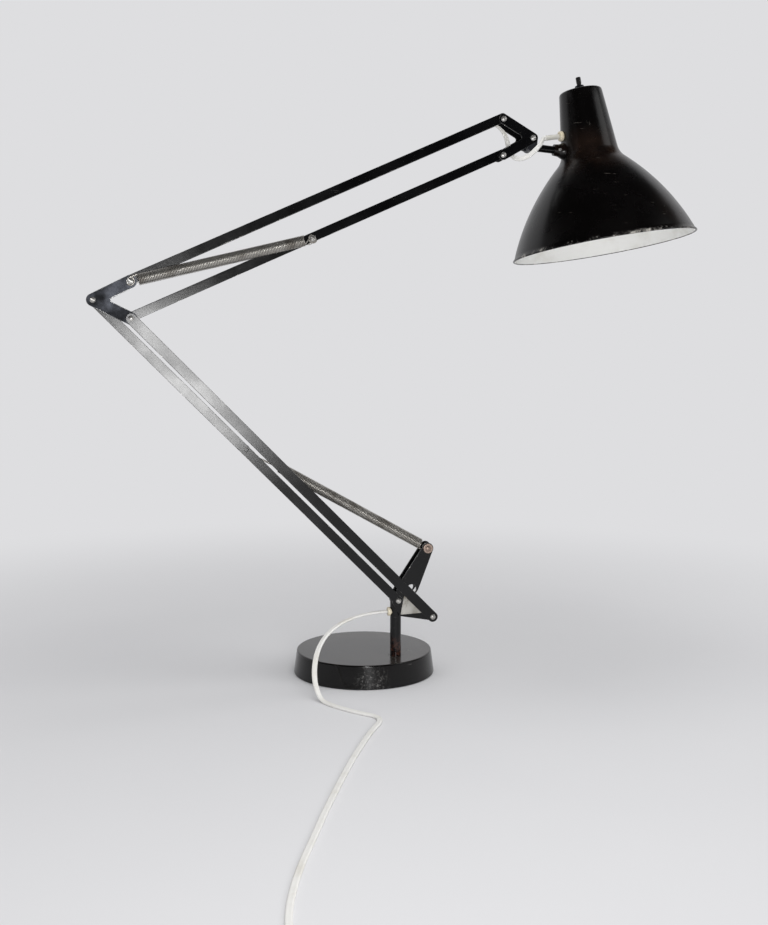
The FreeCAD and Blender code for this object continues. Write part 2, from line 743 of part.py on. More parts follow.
def shade_solid(inset):
    edges, rim, top = shade_profile(inset)
    axis_top, axis_rim = Vec(0, 0, top.z), Vec(0, 0, 0)
    edges += [line(top, axis_top), line(axis_top, axis_rim), line(axis_rim, rim)]
    solid = spun(edges)
    edge = [e for e in solid.Edges
            if e.BoundBox.ZMin > top.z - 1e-3 and e.BoundBox.XLength > TOP_R]
    return solid.makeFillet(TOP_EDGE - inset, edge)


def shade_shell(low, high):
    """The spun shell between two heights: bell and neck meet at the top of the throat."""
    shell = shade_solid(0).cut(shade_solid(SHADE_WALL))
    return shell.common(cyl_z(RIM_R + 1, low, high))


def shade_bell():
    return on_shade(shade_shell(-1, NECK_H))


def shade_neck():
    neck = shade_shell(NECK_H, SHADE_H + 1)
    neck = neck.cut(cyl_z(NIPPLE_D / 2 + SEAT_GAP, SHADE_H - TOP_R, SHADE_H + 1))
    side = Vec(-1, 0, 0)
    hole = cyl_along(Vec(0, 0, GROMMET_H), side, GROMMET_NECK_D / 2 + SEAT_GAP, RIM_R)
    return on_shade(neck.cut(hole))


def shade_boss():
    """Socket on the neck's side that the rod turns in, cut to the neck's surface."""
    tail = -BOSS_L
    profile = [(0, tail), (BOSS_NOSE_D / 2, tail), (BOSS_NOSE_D / 2 + 0.6, tail / 2),
               (BOSS_D / 2, -BOSS_FLOOR / 2), (BOSS_D / 2, BOSS_SINK), (0, BOSS_SINK)]
    body = spun_polygon(profile)
    body = body.cut(cyl_z(ROD_D / 2 + RUN_GAP, tail - 1, -BOSS_FLOOR + FLOAT_GAP))
    body.rotate(Vec(0, 0, 0), Vec(0, 1, 0), 90 - ROD_ANGLE)
    body.translate(BOSS_AT)
    on_arm(body)
    body = body.cut(on_shade(shade_solid(0)))
    return body.cut(set_screw_tool(SET_SCREW_D / 2 + SEAT_GAP))


def set_screw_tool(radius):
    at = BOSS_AT - ROD_DIR * SET_SCREW_AT
    return on_arm(cyl_y(at, radius, -BOSS_D / 2, -ROD_D / 2 - FLOAT_GAP))


def set_screw():
    return set_screw_tool(SET_SCREW_D / 2)


def grommet_place():
    wall = neck_radius(GROMMET_H)
    return Vec(-wall, 0, GROMMET_H)


def cord_grommet():
    """Bush in the neck's side: a neck through the wall and a round flange outside it."""
    at = grommet_place()
    side = Vec(-1, 0, 0)
    flange = cyl_along(at + Vec(SHADE_WALL * 2, 0, 0), side, GROMMET_D / 2, GROMMET_T + SHADE_WALL * 2)
    flange = flange.cut(shade_solid(0))
    neck = cyl_along(at + Vec(SHADE_WALL * 2.5, 0, 0), side, GROMMET_NECK_D / 2, SHADE_WALL * 2.5)
    return on_shade(joined(flange, [neck]))


def cord_sleeve():
    at = grommet_place() - Vec(GROMMET_T, 0, 0)
    return on_shade(cyl_along(at, Vec(-1, 0, 0), SLEEVE_D / 2, SLEEVE_L))


def sleeve_end():
    """Where the flex enters the sleeve."""
    at = grommet_place() - Vec(GROMMET_T + SLEEVE_L, 0, 0)
    return SHADE_AT + SHADE_AXIS * at.z + SHADE_SIDE * at.x + SPINDLE_AT


# Lamp holder, bulb and switch
def lamp_holder():
    low, high = HOLDER_TOP_H - HOLDER_L, HOLDER_TOP_H
    body = cyl_z(HOLDER_D / 2, low, high)
    rim = [e for e in body.Edges if e.BoundBox.ZMin > high - 1e-3]
    body = body.makeFillet(TOP_EDGE, rim)
    body = body.cut(cyl_z(CAP_D / 2 + CAP_GAP, low - 1, high - CAP_FLOOR))
    body = joined(body, [cyl_z(NIPPLE_D / 2, high - 1, SHADE_H + NUT_OUT_T + NIPPLE_PROUD)])
    bore = PLUNGER_D / 2 + RUN_GAP
    return on_shade(body.cut(cyl_z(bore, high - CAP_FLOOR - 1, SHADE_H + NUT_OUT_T + NIPPLE_PROUD + 1)))


def bulb_top():
    return HOLDER_TOP_H - CAP_FLOOR - BUTTON_TRAVEL


def bulb_cap():
    high = bulb_top()
    body = cone_z(CAP_D / 2, CAP_D / 2 - 3, high - 4, high)
    return on_shade(joined(cyl_z(CAP_D / 2, high - CAP_L, high - 4), [body]))


def bulb_outline(inset):
    """Pear-shaped glass from its tip up to the cap."""
    top = bulb_top() - CAP_L
    ball = GLASS_D / 2 - inset
    centre = top - GLASS_L + GLASS_D / 2
    waist = CAP_D / 2 - inset
    a = math.radians(90 * GLASS_SHOULDER - 20)
    shoulder = Vec(ball * math.cos(a), 0, centre + ball * math.sin(a))
    low = Vec(0, 0, centre - ball)
    side = Vec(ball * math.cos(math.radians(-35)), 0, centre + ball * math.sin(math.radians(-35)))
    neck, middle = Vec(waist, 0, top), Vec(0, 0, top)
    return [arc(low, side, shoulder), line(shoulder, neck), line(neck, middle), line(middle, low)]


def bulb_glass():
    return on_shade(spun(bulb_outline(0)).cut(spun(bulb_outline(GLASS_WALL))))


def switch_nut():
    collar = cyl_z(NUT_OUT_D / 2, SHADE_H, SHADE_H + NUT_OUT_T)
    return on_shade(collar.cut(cyl_z(NIPPLE_D / 2 + SEAT_GAP, SHADE_H - 1, SHADE_H + NUT_OUT_T + 1)))


def switch_button():
    low = SHADE_H + NUT_OUT_T + NIPPLE_PROUD + BUTTON_TRAVEL + SIDE_GAP
    cap = cyl_z(BUTTON_D / 2, low, low + BUTTON_L)
    rim = [e for e in cap.Edges if e.BoundBox.ZMin > low + BUTTON_L - 1e-3]
    cap = cap.makeFillet(BUTTON_D / 6, rim)
    return on_shade(joined(cap, [cyl_z(PLUNGER_D / 2, low - BUTTON_STEM_L, low + 1)]))


# Flex outside the lamp
def outlet_point():
    return Vec(SPINDLE_X - SPINDLE_D / 2 - BUSHING_FLANGE_T, SPINDLE_Y, OUTLET_Z)


def coil_point(angle, radius, level):
    a = math.radians(angle)
    return Vec(COIL_X + radius * math.cos(a), COIL_Y + radius * math.sin(a), level)


def coil_turn(turns):
    """Place on the coil after so many turns: inwards on the floor, then outwards on top."""
    climb = 0.5
    low = FLEX_D / 2 + COIL_LIFT
    inner = COIL_OUT_R - COIL_STEP * COIL_TURNS
    angle = COIL_START + 360 * turns
    if turns <= COIL_TURNS:
        return coil_point(angle, COIL_OUT_R - COIL_STEP * turns, low)
    if turns >= COIL_TURNS + climb:
        return coil_point(angle, inner + COIL_STEP * (turns - COIL_TURNS - climb), low + COIL_STEP)
    share = (turns - COIL_TURNS) / climb
    ease = share * share * (3 - 2 * share)
    tuck = COIL_TUCK * math.sin(math.pi * share) ** 2
    return coil_point(angle, inner - tuck, low + COIL_STEP * ease)


def coil_heading(turns):
    step = 0.002
    return (coil_turn(turns + step) - coil_turn(turns - step)).normalize()


def coil_end():
    return 2 * COIL_TURNS + 0.5


def flex_coil():
    """The put-away length: one unbroken tube of flat spirals, in on the floor and out on top."""
    quarter = 0.25
    count = int(round(coil_end() / quarter))
    edges = []
    for i in range(count):
        a, b = i * quarter, (i + 1) * quarter
        edges += biarc(coil_turn(a), coil_heading(a), coil_turn(b), coil_heading(b))
    self_gap(edges, FLEX_D, "flex coil")
    return swept(edges, coil_turn(0), coil_heading(0), FLEX_D / 2)


def coil_tie():
    inner = COIL_OUT_R - COIL_STEP * COIL_TURNS - FLEX_D / 2 - TIE_GAP - COIL_STEP / 2
    outer = COIL_OUT_R + FLEX_D / 2 + TIE_GAP
    high = COIL_LIFT + FLEX_D + COIL_STEP + TIE_GAP
    low = COIL_LIFT - TIE_GAP
    band = Part.makeBox(outer - inner + 2 * TIE_T, TIE_W, high - low + 2 * TIE_T,
                        Vec(inner - TIE_T, -TIE_W / 2, low - TIE_T))
    hole = Part.makeBox(outer - inner, TIE_W + 2, high - low, Vec(inner, -TIE_W / 2 - 1, low))
    band = band.cut(hole)
    band.rotate(Vec(0, 0, 0), Vec(0, 0, 1), TIE_ANGLE)
    band.translate(Vec(COIL_X, COIL_Y, 0))
    return band


def tail_points():
    """Hand-chosen route: out of the bushing, down past the base, along the floor to the coil."""
    floor = FLEX_D / 2
    start = coil_turn(0)
    lead = coil_heading(0)
    points = [outlet_point() - Vec(FLEX_GAP, 0, 0)]
    points += [Vec(*p) for p in (
        (6, -38.5, 75.2), (-15, -43.5, 73.5), (-36, -52, 68.5), (-53, -61, 58.5), (-62.5, -69, 47),
        (-67.5, -77, 35), (-69.5, -84, 23), (-69.5, -93, 12.5))]
    points += [Vec(x, y, floor) for x, y in (
        (-66, -107), (-58, -124), (-47, -140), (-34, -156), (-19, -170), (-20, -187),
        (-33, -209), (-48, -242), (-69, -291), (-91, -348), (-110, -399), (-127, -448),
        (-141, -487), (-152, -523), (-160, -556), (-164.5, -587), (-166, -615))]
    points += [start - lead * 22 + Vec(0, 0, floor - start.z), start]
    return points


def flex_tail():
    return flex_tube(tail_points(), FLEX_D, "flex tail")


def plug_frame():
    """Where the flex leaves the coil for the plug, and its heading on the floor."""
    heading = coil_heading(coil_end())
    return coil_turn(coil_end()), Vec(heading.x, heading.y, 0).normalize()


def plug_points():
    start, heading = plug_frame()
    across = Vec(-heading.y, heading.x, 0)
    level = PLUG_T / 2
    drop = start.z - level
    return [start, start + heading * 16 + across * 1.0 - Vec(0, 0, drop * 0.15),
            start + heading * 34 + across * 1.5 - Vec(0, 0, drop * 0.95),
            start + heading * 50 + across * 1.0 - Vec(0, 0, drop)]


def plug_lead():
    return flex_tube(plug_points(), FLEX_D, "plug lead")


def plug_place(shape):
    points = plug_points()
    run = points[-1] - points[-2]
    shape.rotate(Vec(0, 0, 0), Vec(0, 0, 1), math.degrees(math.atan2(run.y, run.x)))
    shape.translate(points[-1])
    return shape


def plug_body():
    """A flat two-pin plug lying on the floor, with a tapered relief where the flex goes in."""
    relief = Part.makeCone(FLEX_D / 2 + 0.6, RELIEF_D / 2, RELIEF_L, Vec(0, 0, 0), Vec(1, 0, 0))
    block = Part.makeBox(PLUG_L, PLUG_W, PLUG_T, Vec(RELIEF_L, -PLUG_W / 2, -PLUG_T / 2))
    rear = [e for e in block.Edges if e.BoundBox.XMax < RELIEF_L + 1e-3 and e.BoundBox.ZLength > 1]
    block = block.makeFillet(PLUG_W / 3, rear)
    return plug_place(joined(relief, [block]))


def plug_pins():
    start = RELIEF_L + PLUG_L
    pins = [Part.makeCylinder(PLUG_PIN_D / 2, PLUG_PIN_L, Vec(start, y, 0), Vec(1, 0, 0))
            for y in (-PLUG_PIN_PITCH / 2, PLUG_PIN_PITCH / 2)]
    return plug_place(Part.makeCompound(pins))


def head_points():
    """Hand-chosen route: out of the top bar, down between the plates, round the joint to the sleeve."""
    below_web = UPPER_WEB - SEAT_GAP - HEAD_FLEX_D / 2
    start = PIVOT_E + polar(UPPER_L - UPPER_FLEX_STOP, UPPER_ANGLE) + polar(below_web, UPPER_ANGLE + 90)
    mouth = sleeve_end()
    joint = PIVOT_J + SPINDLE_AT
    turns = [joint + Vec(*p) for p in (
        (-35.6, 0, 12), (-27.5, 0, 3.5), (-24.8, -0.5, -8.5), (-23, -4, -18.5), (-15.5, -10, -23.5),
        (-5.5, -14, -19.5), (4.4, -14.5, -10), (11.4, -9, -2))]
    return [start + SPINDLE_AT] + turns + [mouth - SHADE_SIDE * 4, mouth + SHADE_SIDE * 5]


def head_flex():
    return flex_tube(head_points(), HEAD_FLEX_D, "head flex")


def build():
    lower_flex_end = LOWER_L - LOWER_FLEX_STOP - FLEX_GAP
    upper_flex_start = UPPER_FLEX_START + FLEX_GAP
    upper_flex_end = UPPER_L - UPPER_FLEX_STOP - 4 * FLEX_GAP
    return {
        "base_shell": base_shell(),
        "base_weight": base_weight(),
        "base_felt": base_felt(),
        "spindle_bush": spindle_bush(),
        "spindle": spindle(),
        "cheek_front": cheek(FRONT),
        "cheek_back": cheek(BACK),
        "label_plate": label_plate(),
        "cord_bushing": cord_bushing(),
        "arm_screw": on_arm(screw(PIVOT_A, FLANGE_OUT, FLOAT_GAP)),
        "arm_nut": on_arm(nut(PIVOT_A, FLANGE_OUT, FLOAT_GAP)),
        "post_screw": post_screw(),
        "lower_bar": lower_bar(),
        "lower_bar_flex": inner_flex(PIVOT_A, LOWER_ANGLE, LOWER_WEB_START + 2, lower_flex_end,
                                     LOWER_WEB, LOWER_FLEX_Y),
        "spring_pin": spring_pin(),
        "strut_front": strut(FRONT),
        "strut_back": strut(BACK),
        "strut_pin": strut_pin(),
        "lower_spring": spring(PIVOT_S, PIN_D, PIVOT_T, SPRING_PIN_D, 0, LOWER_NEAR_LEAD, LOWER_FAR_LEAD,
                               LOWER_CURLS, "lower spring"),
        "elbow_plate_front": elbow_plate(FRONT),
        "elbow_plate_back": elbow_plate(BACK),
        "elbow_screw": on_arm(screw(PIVOT_D, VEE_OUT)),
        "elbow_nut": on_arm(nut(PIVOT_D, VEE_OUT)),
        "elbow_rivet": on_arm(rivet(PIVOT_C, STRAP_OUT, FLOAT_GAP)),
        "elbow_spring_screw": spring_screw(PIVOT_E, VEE_OUT),
        "elbow_flex": elbow_flex(),
        "upper_top_bar": upper_bar(PIVOT_E),
        "upper_bar_flex": inner_flex(PIVOT_E, UPPER_ANGLE, upper_flex_start, upper_flex_end,
                                     UPPER_WEB, 0),
        "upper_bottom_bar": upper_bar(PIVOT_C, PIVOT_F),
        "bar_spring_screw": spring_screw(PIVOT_F, FLANGE_OUT),
        "upper_spring_front": spring(PIVOT_E, PIN_D, PIVOT_F, PIN_D, FRONT * SPRING_Y, UPPER_LEAD, UPPER_LEAD,
                                     UPPER_CURLS, "upper spring front"),
        "upper_spring_back": spring(PIVOT_E, PIN_D, PIVOT_F, PIN_D, BACK * SPRING_Y, UPPER_LEAD, UPPER_LEAD,
                                    UPPER_CURLS, "upper spring back"),
        "head_plate_front": head_plate(FRONT),
        "head_plate_back": head_plate(BACK),
        "head_rivets": on_arm(Part.makeCompound([rivet(PIVOT_G, VEE_OUT), rivet(PIVOT_H, VEE_OUT)])),
        "head_screw": on_arm(screw(PIVOT_J, VEE_OUT)),
        "head_nut": on_arm(nut(PIVOT_J, VEE_OUT)),
        "head_flex": head_flex(),
        "knuckle": knuckle(),
        "shade_rod": shade_rod(),
        "shade_bell": shade_bell(),
        "shade_neck": shade_neck(),
        "shade_boss": shade_boss(),
        "boss_set_screw": set_screw(),
        "cord_grommet": cord_grommet(),
        "cord_sleeve": cord_sleeve(),
        "lamp_holder": lamp_holder(),
        "bulb_cap": bulb_cap(),
        "bulb_glass": bulb_glass(),
        "switch_nut": switch_nut(),
        "switch_button": switch_button(),
        "flex_tail": flex_tail(),
        "flex_coil": flex_coil(),
        "coil_tie": coil_tie(),
        "plug_lead": plug_lead(),
        "plug_body": plug_body(),
        "plug_pins": plug_pins(),
    }


os.makedirs("parts", exist_ok=True)
for node, shape in build().items():
    shape.exportStep("parts/" + node + ".step")
    print(node, "solids", len(shape.Solids), "valid", shape.isValid(), "volume", round(shape.Volume, 1))
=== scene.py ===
import bpy
import json
import math
from mathutils import Matrix, Vector


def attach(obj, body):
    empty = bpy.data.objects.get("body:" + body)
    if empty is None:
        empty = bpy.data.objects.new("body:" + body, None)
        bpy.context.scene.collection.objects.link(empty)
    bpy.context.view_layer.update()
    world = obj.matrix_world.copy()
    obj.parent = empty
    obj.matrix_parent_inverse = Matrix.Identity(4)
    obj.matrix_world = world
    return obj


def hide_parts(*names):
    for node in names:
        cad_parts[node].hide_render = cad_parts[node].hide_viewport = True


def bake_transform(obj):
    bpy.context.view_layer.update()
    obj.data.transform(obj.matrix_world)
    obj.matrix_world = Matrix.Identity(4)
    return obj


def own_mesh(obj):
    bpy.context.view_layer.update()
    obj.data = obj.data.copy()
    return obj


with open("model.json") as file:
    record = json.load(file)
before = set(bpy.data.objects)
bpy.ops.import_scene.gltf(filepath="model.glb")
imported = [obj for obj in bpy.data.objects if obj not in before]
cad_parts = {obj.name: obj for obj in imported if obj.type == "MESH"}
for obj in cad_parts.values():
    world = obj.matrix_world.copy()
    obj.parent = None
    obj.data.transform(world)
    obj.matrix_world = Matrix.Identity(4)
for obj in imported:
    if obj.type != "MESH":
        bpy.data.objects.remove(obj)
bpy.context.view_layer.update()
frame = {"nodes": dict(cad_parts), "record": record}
cadNodes, record = frame["nodes"], frame["record"]
bodyOf = {node: body for body, members in record["behaviour"]["bodies"].items() for node in members}
slotOf = {part["node"]: part["material_slot"] for part in record["subparts"]}
for spare in ("Cube", "Light", "Camera"):
    if spare in bpy.data.objects:
        bpy.data.objects.remove(bpy.data.objects[spare])
print("frame loaded:", len(cadNodes), "nodes")


def mm(x, y, z):
    return Vector((x, y, z)) / 1000


def added(name, data):                           # a new object in the scene
    piece = bpy.data.objects.new(name, data)
    bpy.context.scene.collection.objects.link(piece)
    return piece


# camera at the photographed viewpoint, in millimetres and degrees
shot = {"at": (-263.4, -1348.2, 392.0), "turn": (83.5, 0, -12), "lens": 48.65, "sensor": 36}
eye = added("shotCamera", bpy.data.cameras.new("shotCamera"))
eye.location = mm(*shot["at"])
eye.rotation_euler = [math.radians(a) for a in shot["turn"]]
eye.data.lens = shot["lens"]
eye.data.sensor_width = shot["sensor"]
bpy.context.scene.camera = eye
bpy.context.scene.view_settings.view_transform = "Standard"


# small hand tools
def nothing():                                   # object mode, nothing selected
    if bpy.context.mode != "OBJECT":
        bpy.ops.object.mode_set(mode="OBJECT")
    bpy.ops.object.select_all(action="DESELECT")


def only(piece):
    nothing()
    piece.select_set(True)
    bpy.context.view_layer.objects.active = piece
    return piece


def openMesh(piece, kind="VERT"):
    only(piece)
    bpy.ops.object.mode_set(mode="EDIT")
    bpy.ops.mesh.select_mode(type=kind)


def closeMesh():
    bpy.ops.object.mode_set(mode="OBJECT")


def pick(piece, kind, test):                     # choose vertices or faces by a test
    openMesh(piece, kind)
    bpy.ops.mesh.select_all(action="DESELECT")
    closeMesh()
    parts = piece.data.polygons if kind == "FACE" else piece.data.vertices
    for part in parts:
        part.select = bool(test(part))
    bpy.ops.object.mode_set(mode="EDIT")


def modify(piece, kind, **settings):
    only(piece)
    step = piece.modifiers.new(kind.title(), kind)
    for key, value in settings.items():
        setattr(step, key, value)
    bpy.ops.object.modifier_apply(modifier=step.name)


def fixed(piece):                                # its place, turn and scale go into the mesh
    only(piece)
    bpy.ops.object.transform_apply(location=True, rotation=True, scale=True)
    return piece


def place(piece, matrix):
    piece.matrix_world = matrix
    return fixed(piece)


def smooth(piece, degrees):
    only(piece)
    bpy.ops.object.shade_smooth_by_angle(angle=math.radians(degrees))
    return piece


def crisp(piece, degrees):                       # smooth, but flat faces stay flat up to the edges
    smooth(piece, degrees)
    modify(piece, "WEIGHTED_NORMAL", keep_sharp=True, weight=100)
    return piece


def cutAway(piece, tool):
    modify(piece, "BOOLEAN", object=tool, operation="DIFFERENCE", solver="EXACT")
    bpy.data.objects.remove(tool)


def newest(name):
    piece = bpy.context.object
    piece.name = name
    piece.data.name = name
    return piece


def weld():                                      # join doubled corners of the open mesh
    bpy.ops.mesh.select_all(action="SELECT")
    bpy.ops.mesh.remove_doubles(threshold=1e-6)


def faceOut():                                   # turn every face outward and leave the mesh
    bpy.ops.mesh.select_all(action="SELECT")
    bpy.ops.mesh.normals_make_consistent(inside=False)
    closeMesh()


def drag(x, y, z):                               # extrude what is chosen, by millimetres
    bpy.ops.mesh.extrude_region_move(TRANSFORM_OT_translate={"value": mm(x, y, z)})


def lathe(name, outline, steps):                 # outline of (radius, height) in mm, turned about Z
    nothing()
    bpy.ops.mesh.primitive_plane_add(size=0.001)
    piece = newest(name)
    openMesh(piece)
    bpy.ops.mesh.select_all(action="SELECT")
    bpy.ops.mesh.merge(type="CENTER")
    bpy.ops.transform.translate(value=mm(outline[0][0], 0, outline[0][1]))
    for (r, h), (toR, toH) in zip(outline, outline[1:]):
        drag(toR - r, 0, toH - h)
    bpy.ops.mesh.select_all(action="SELECT")
    bpy.ops.mesh.spin(steps=steps, angle=2 * math.pi, center=(0, 0, 0), axis=(0, 0, 1))
    weld()
    faceOut()
    return piece


def arcThrough(a, m, b, count):                  # points from a to b on the circle through m
    (ax, ay), (bx, by), (cx, cy) = a, m, b
    d = 2 * (ax * (by - cy) + bx * (cy - ay) + cx * (ay - by))
    qa, qb, qc = ax * ax + ay * ay, bx * bx + by * by, cx * cx + cy * cy
    ox = (qa * (by - cy) + qb * (cy - ay) + qc * (ay - by)) / d
    oy = (qa * (cx - bx) + qb * (ax - cx) + qc * (bx - ax)) / d
    radius = math.hypot(ax - ox, ay - oy)
    first, last = math.atan2(ay - oy, ax - ox), math.atan2(cy - oy, cx - ox)
    sweep = (last - first + math.pi) % (2 * math.pi) - math.pi
    angles = [first + sweep * i / count for i in range(count + 1)]
    return [(ox + radius * math.cos(t), oy + radius * math.sin(t)) for t in angles]


def ring(x, y, r, degrees):                      # points on a circle at these angles
    turns = [math.radians(t) for t in degrees]
    return [(x + r * math.cos(t), y + r * math.sin(t)) for t in turns]


# finishes: one socket with arithmetic, and one way to add any node
class Wire:
    def __init__(self, finish, socket):
        self.finish, self.socket = finish, socket

    def maths(self, operation, other):
        return self.finish.add("ShaderNodeMath", {"operation": operation}, {0: self, 1: other})

    def __add__(self, other):
        return self.maths("ADD", other)

    def __mul__(self, other):
        return self.maths("MULTIPLY", other)


def tone(r, g, b):                               # 0-255 as seen on screen, to a shader colour
    seen = [c / 255 for c in (r, g, b)]
    return (*[c / 12.92 if c <= 0.04045 else ((c + 0.055) / 1.055) ** 2.4 for c in seen], 1)


class Finish:
    def __init__(self, owner, shader, **constants):
        owner.use_nodes = True
        self.owner, self.tree = owner, owner.node_tree
        self.shader = self.tree.nodes[shader]
        for key, value in constants.items():
            self.shader.inputs[key.replace("_", " ")].default_value = value
        self.here = self.add("ShaderNodeTexCoord", out="Object")

    def add(self, kind, settings=None, sockets=None, out=0):
        node = self.tree.nodes.new(kind)
        for key, value in (settings or {}).items():
            setattr(node, key, value)
        for key, value in (sockets or {}).items():
            self.link(node.inputs[key], value)
        return Wire(self, node.outputs[out])

    def link(self, socket, value):
        if isinstance(value, Wire):
            self.tree.links.new(value.socket, socket)
        else:
            socket.default_value = value

    def feed(self, **sockets):
        for key, value in sockets.items():
            self.link(self.shader.inputs[key.replace("_", " ")], value)

    def noise(self, scale, detail, rough=0.55, stretch=None, turn=(0, 0, 0), where=None):
        spot = where or self.here
        if stretch:
            spot = self.add("ShaderNodeMapping", {},
                            {"Vector": spot, "Rotation": turn, "Scale": stretch})
        return self.add("ShaderNodeTexNoise", {},
                        {"Vector": spot, "Scale": scale, "Detail": detail, "Roughness": rough})

    def step(self, value, low, high, least=0.0, most=1.0):
        return self.add("ShaderNodeMapRange", {"interpolation_type": "SMOOTHSTEP"},
                        {"Value": value, "From Min": low, "From Max": high,
                         "To Min": least, "To Max": most})

    def mix(self, a, b, share):
        return self.add("ShaderNodeMix", {"data_type": "RGBA"}, {0: share, 6: a, 7: b}, 2)

    def near(self, point, reach, core=0.2):      # 1 in the core of a spot, 0 beyond its reach in mm
        away = self.add("ShaderNodeVectorMath", {"operation": "DISTANCE"},
                        {0: self.here, 1: mm(*point)}, "Value")
        return self.step(away, reach / 1000, core * reach / 1000)

    def bump(self, height, strength, distance):
        bent = self.add("ShaderNodeBump", {},
                        {"Height": height, "Strength": strength, "Distance": distance})
        self.feed(Normal=bent)

    def axis(self, name, where=None):
        return self.add("ShaderNodeSeparateXYZ", {}, {0: where or self.here}, name)

    def seen(self):                              # 1 for rays that show the background
        ray = self.add("ShaderNodeLightPath", out="Is Camera Ray")
        rays = ray.socket.node.outputs
        for other in ("Is Glossy Ray", "Is Transmission Ray"):
            ray = ray.maths("MAXIMUM", Wire(self, rays[other]))
        return ray


finishes = {}


def paint(name, **constants):
    return Finish(bpy.data.materials.new(name), "Principled BSDF", **constants)


def blackEnamel(name, base, dusty, gloss, worn, marks):
    f = paint(name, Specular_IOR_Level=0.32)
    clouds, grain = f.noise(22, 5), f.noise(900, 2)
    scratch = f.step(f.noise(60, 3, 0.6, (1, 1, 9), (0.5, 0.9, 0.2)), 0.7, 0.74)
    flecks = f.step(f.noise(420, 2, 0.7), 0.75, 0.79) * f.step(clouds, 0.5, 0.62)
    colour = f.mix(base, dusty, f.step(clouds, 0.42, 0.72) * 0.7)
    colour = f.mix(colour, worn, scratch * 0.25 + flecks * 0.6)
    # each mark mixes in its colour: stains and wear, and on the shade a painted highlight
    for markTone, share in [mark(f) for mark in marks]:
        colour = f.mix(colour, markTone, share)
    f.feed(Base_Color=colour,
           Roughness=f.step(clouds, 0.25, 0.8, gloss, gloss + 0.1) + scratch * 0.1)
    f.bump(grain * 0.3 + f.noise(160, 2), 0.035, 0.0002)
    return f


def bareMetal(name, bright, dull, rough, metal=1.0, markTone=None):
    f = paint(name, Metallic=metal)
    clouds, fine = f.noise(45, 5), f.noise(700, 2, 0.6, (1, 6, 1))
    colour = f.mix(bright, dull, f.step(clouds, 0.4, 0.66))
    if markTone:
        colour = f.mix(colour, markTone, f.step(f.noise(120, 4), 0.56, 0.7) * 0.8)
    f.feed(Base_Color=colour,
           Roughness=f.step(clouds, 0.2, 0.8, rough, rough + 0.22) + fine * 0.06)
    f.bump(fine + f.noise(300, 3) * 0.5, 0.1, 0.00015)
    return f


def plastic(name, clean, grimy, rough, **constants):
    f = paint(name, **constants)
    clouds, fine = f.noise(38, 4), f.noise(600, 3)
    f.feed(Base_Color=f.mix(clean, grimy, f.step(clouds, 0.45, 0.75) * 0.6),
           Roughness=f.step(clouds, 0.3, 0.7, rough, rough + 0.15))
    f.bump(fine, 0.1, 0.0002)
    return f


def wornEdge(name, coat, metal, low, high):      # where paint has rubbed off along an edge
    f = paint(name)
    rub = f.step(f.noise(70, 5, 0.65) + f.noise(500, 2) * 0.25, low, high)
    f.feed(Base_Color=f.mix(coat, metal, rub), Metallic=rub * 0.8,
           Roughness=f.step(rub, 0, 1, 0.42, 0.34))
    return f


def rustAtFoot(f):                               # the spindle just above the base
    rough = f.step(f.noise(210, 5, 0.7), 0.4, 0.7)
    return tone(92, 58, 46), f.near((28, -44, 34), 17) * rough * 0.7


def scuffsInFront(f):                            # pale knocks low on the front of the base
    zone = f.near((-6, -77, 8), 24) * f.step(f.noise(330, 6, 0.75), 0.5, 0.68)
    return tone(196, 194, 190), zone * 0.24


def dustOnTop(f):
    top = f.step(f.axis("Z"), 0.0255, 0.0259)
    return tone(74, 70, 66), top * f.step(f.noise(14, 5), 0.3, 0.75, 0.1, 0.5)


# the shade's own frame: foot of its axis in mm, turned about its rod and tilted, in degrees
shadePose = {"at": (258.232, -47.58, 471.335), "rod": (0.99619, 0, -0.08716), "turn": -5.6,
             "tilt": -8.3}
shadeAt = (Matrix.Translation(mm(*shadePose["at"]))
           @ Matrix.Rotation(math.radians(shadePose["turn"]), 4, Vector(shadePose["rod"]))
           @ Matrix.Rotation(math.radians(shadePose["tilt"]), 4, "Y"))


def onShade(f):                                  # object coordinates along the shade's own axis
    return f.add("ShaderNodeMapping", {"vector_type": "TEXTURE"},
                 {"Vector": f.here, "Location": shadeAt.translation,
                  "Rotation": shadeAt.to_euler()})


def rimChips(f):
    low = f.step(f.axis("Z", onShade(f)), 0.0045, 0.0006)
    worn = f.step(f.noise(90, 5, 0.7), 0.5, 0.66) + f.near((262, -140, 470), 24) * 0.6
    return tone(206, 202, 194), low * worn * f.step(f.noise(330, 3, 0.6), 0.36, 0.56) * 0.75


def brownThroat(f):
    spot = onShade(f)
    high, side = f.axis("Z", spot), f.axis("X", spot)
    band = f.step(high, 0.07, 0.095) * f.step(high, 0.135, 0.105)
    lower = f.step(high, 0.075, 0.03) * f.step(side, 0.02, 0.07)
    return tone(46, 32, 24), (band * 0.5 + lower * 0.4) * f.step(f.noise(38, 5), 0.25, 0.75)


def neckHighlightAndKnocks(f):                                # painted highlight streaks upright on the neck, pale knocks on the bell
    spots = f.near((231, -67, 602), 7) + f.near((247, -69, 606), 6) + f.near((258, -69, 588), 7)
    # painted highlight: pale upright streaks inside the three neck spots
    highlightStreaks = f.step(f.noise(520, 3, 0.6, (1, 1, 0.22), where=onShade(f)), 0.58, 0.66)
    knocks = f.near((322, -106, 492), 9) * f.step(f.noise(420, 3, 0.6), 0.5, 0.62)
    return tone(188, 182, 172), (spots * highlightStreaks + knocks) * 0.7


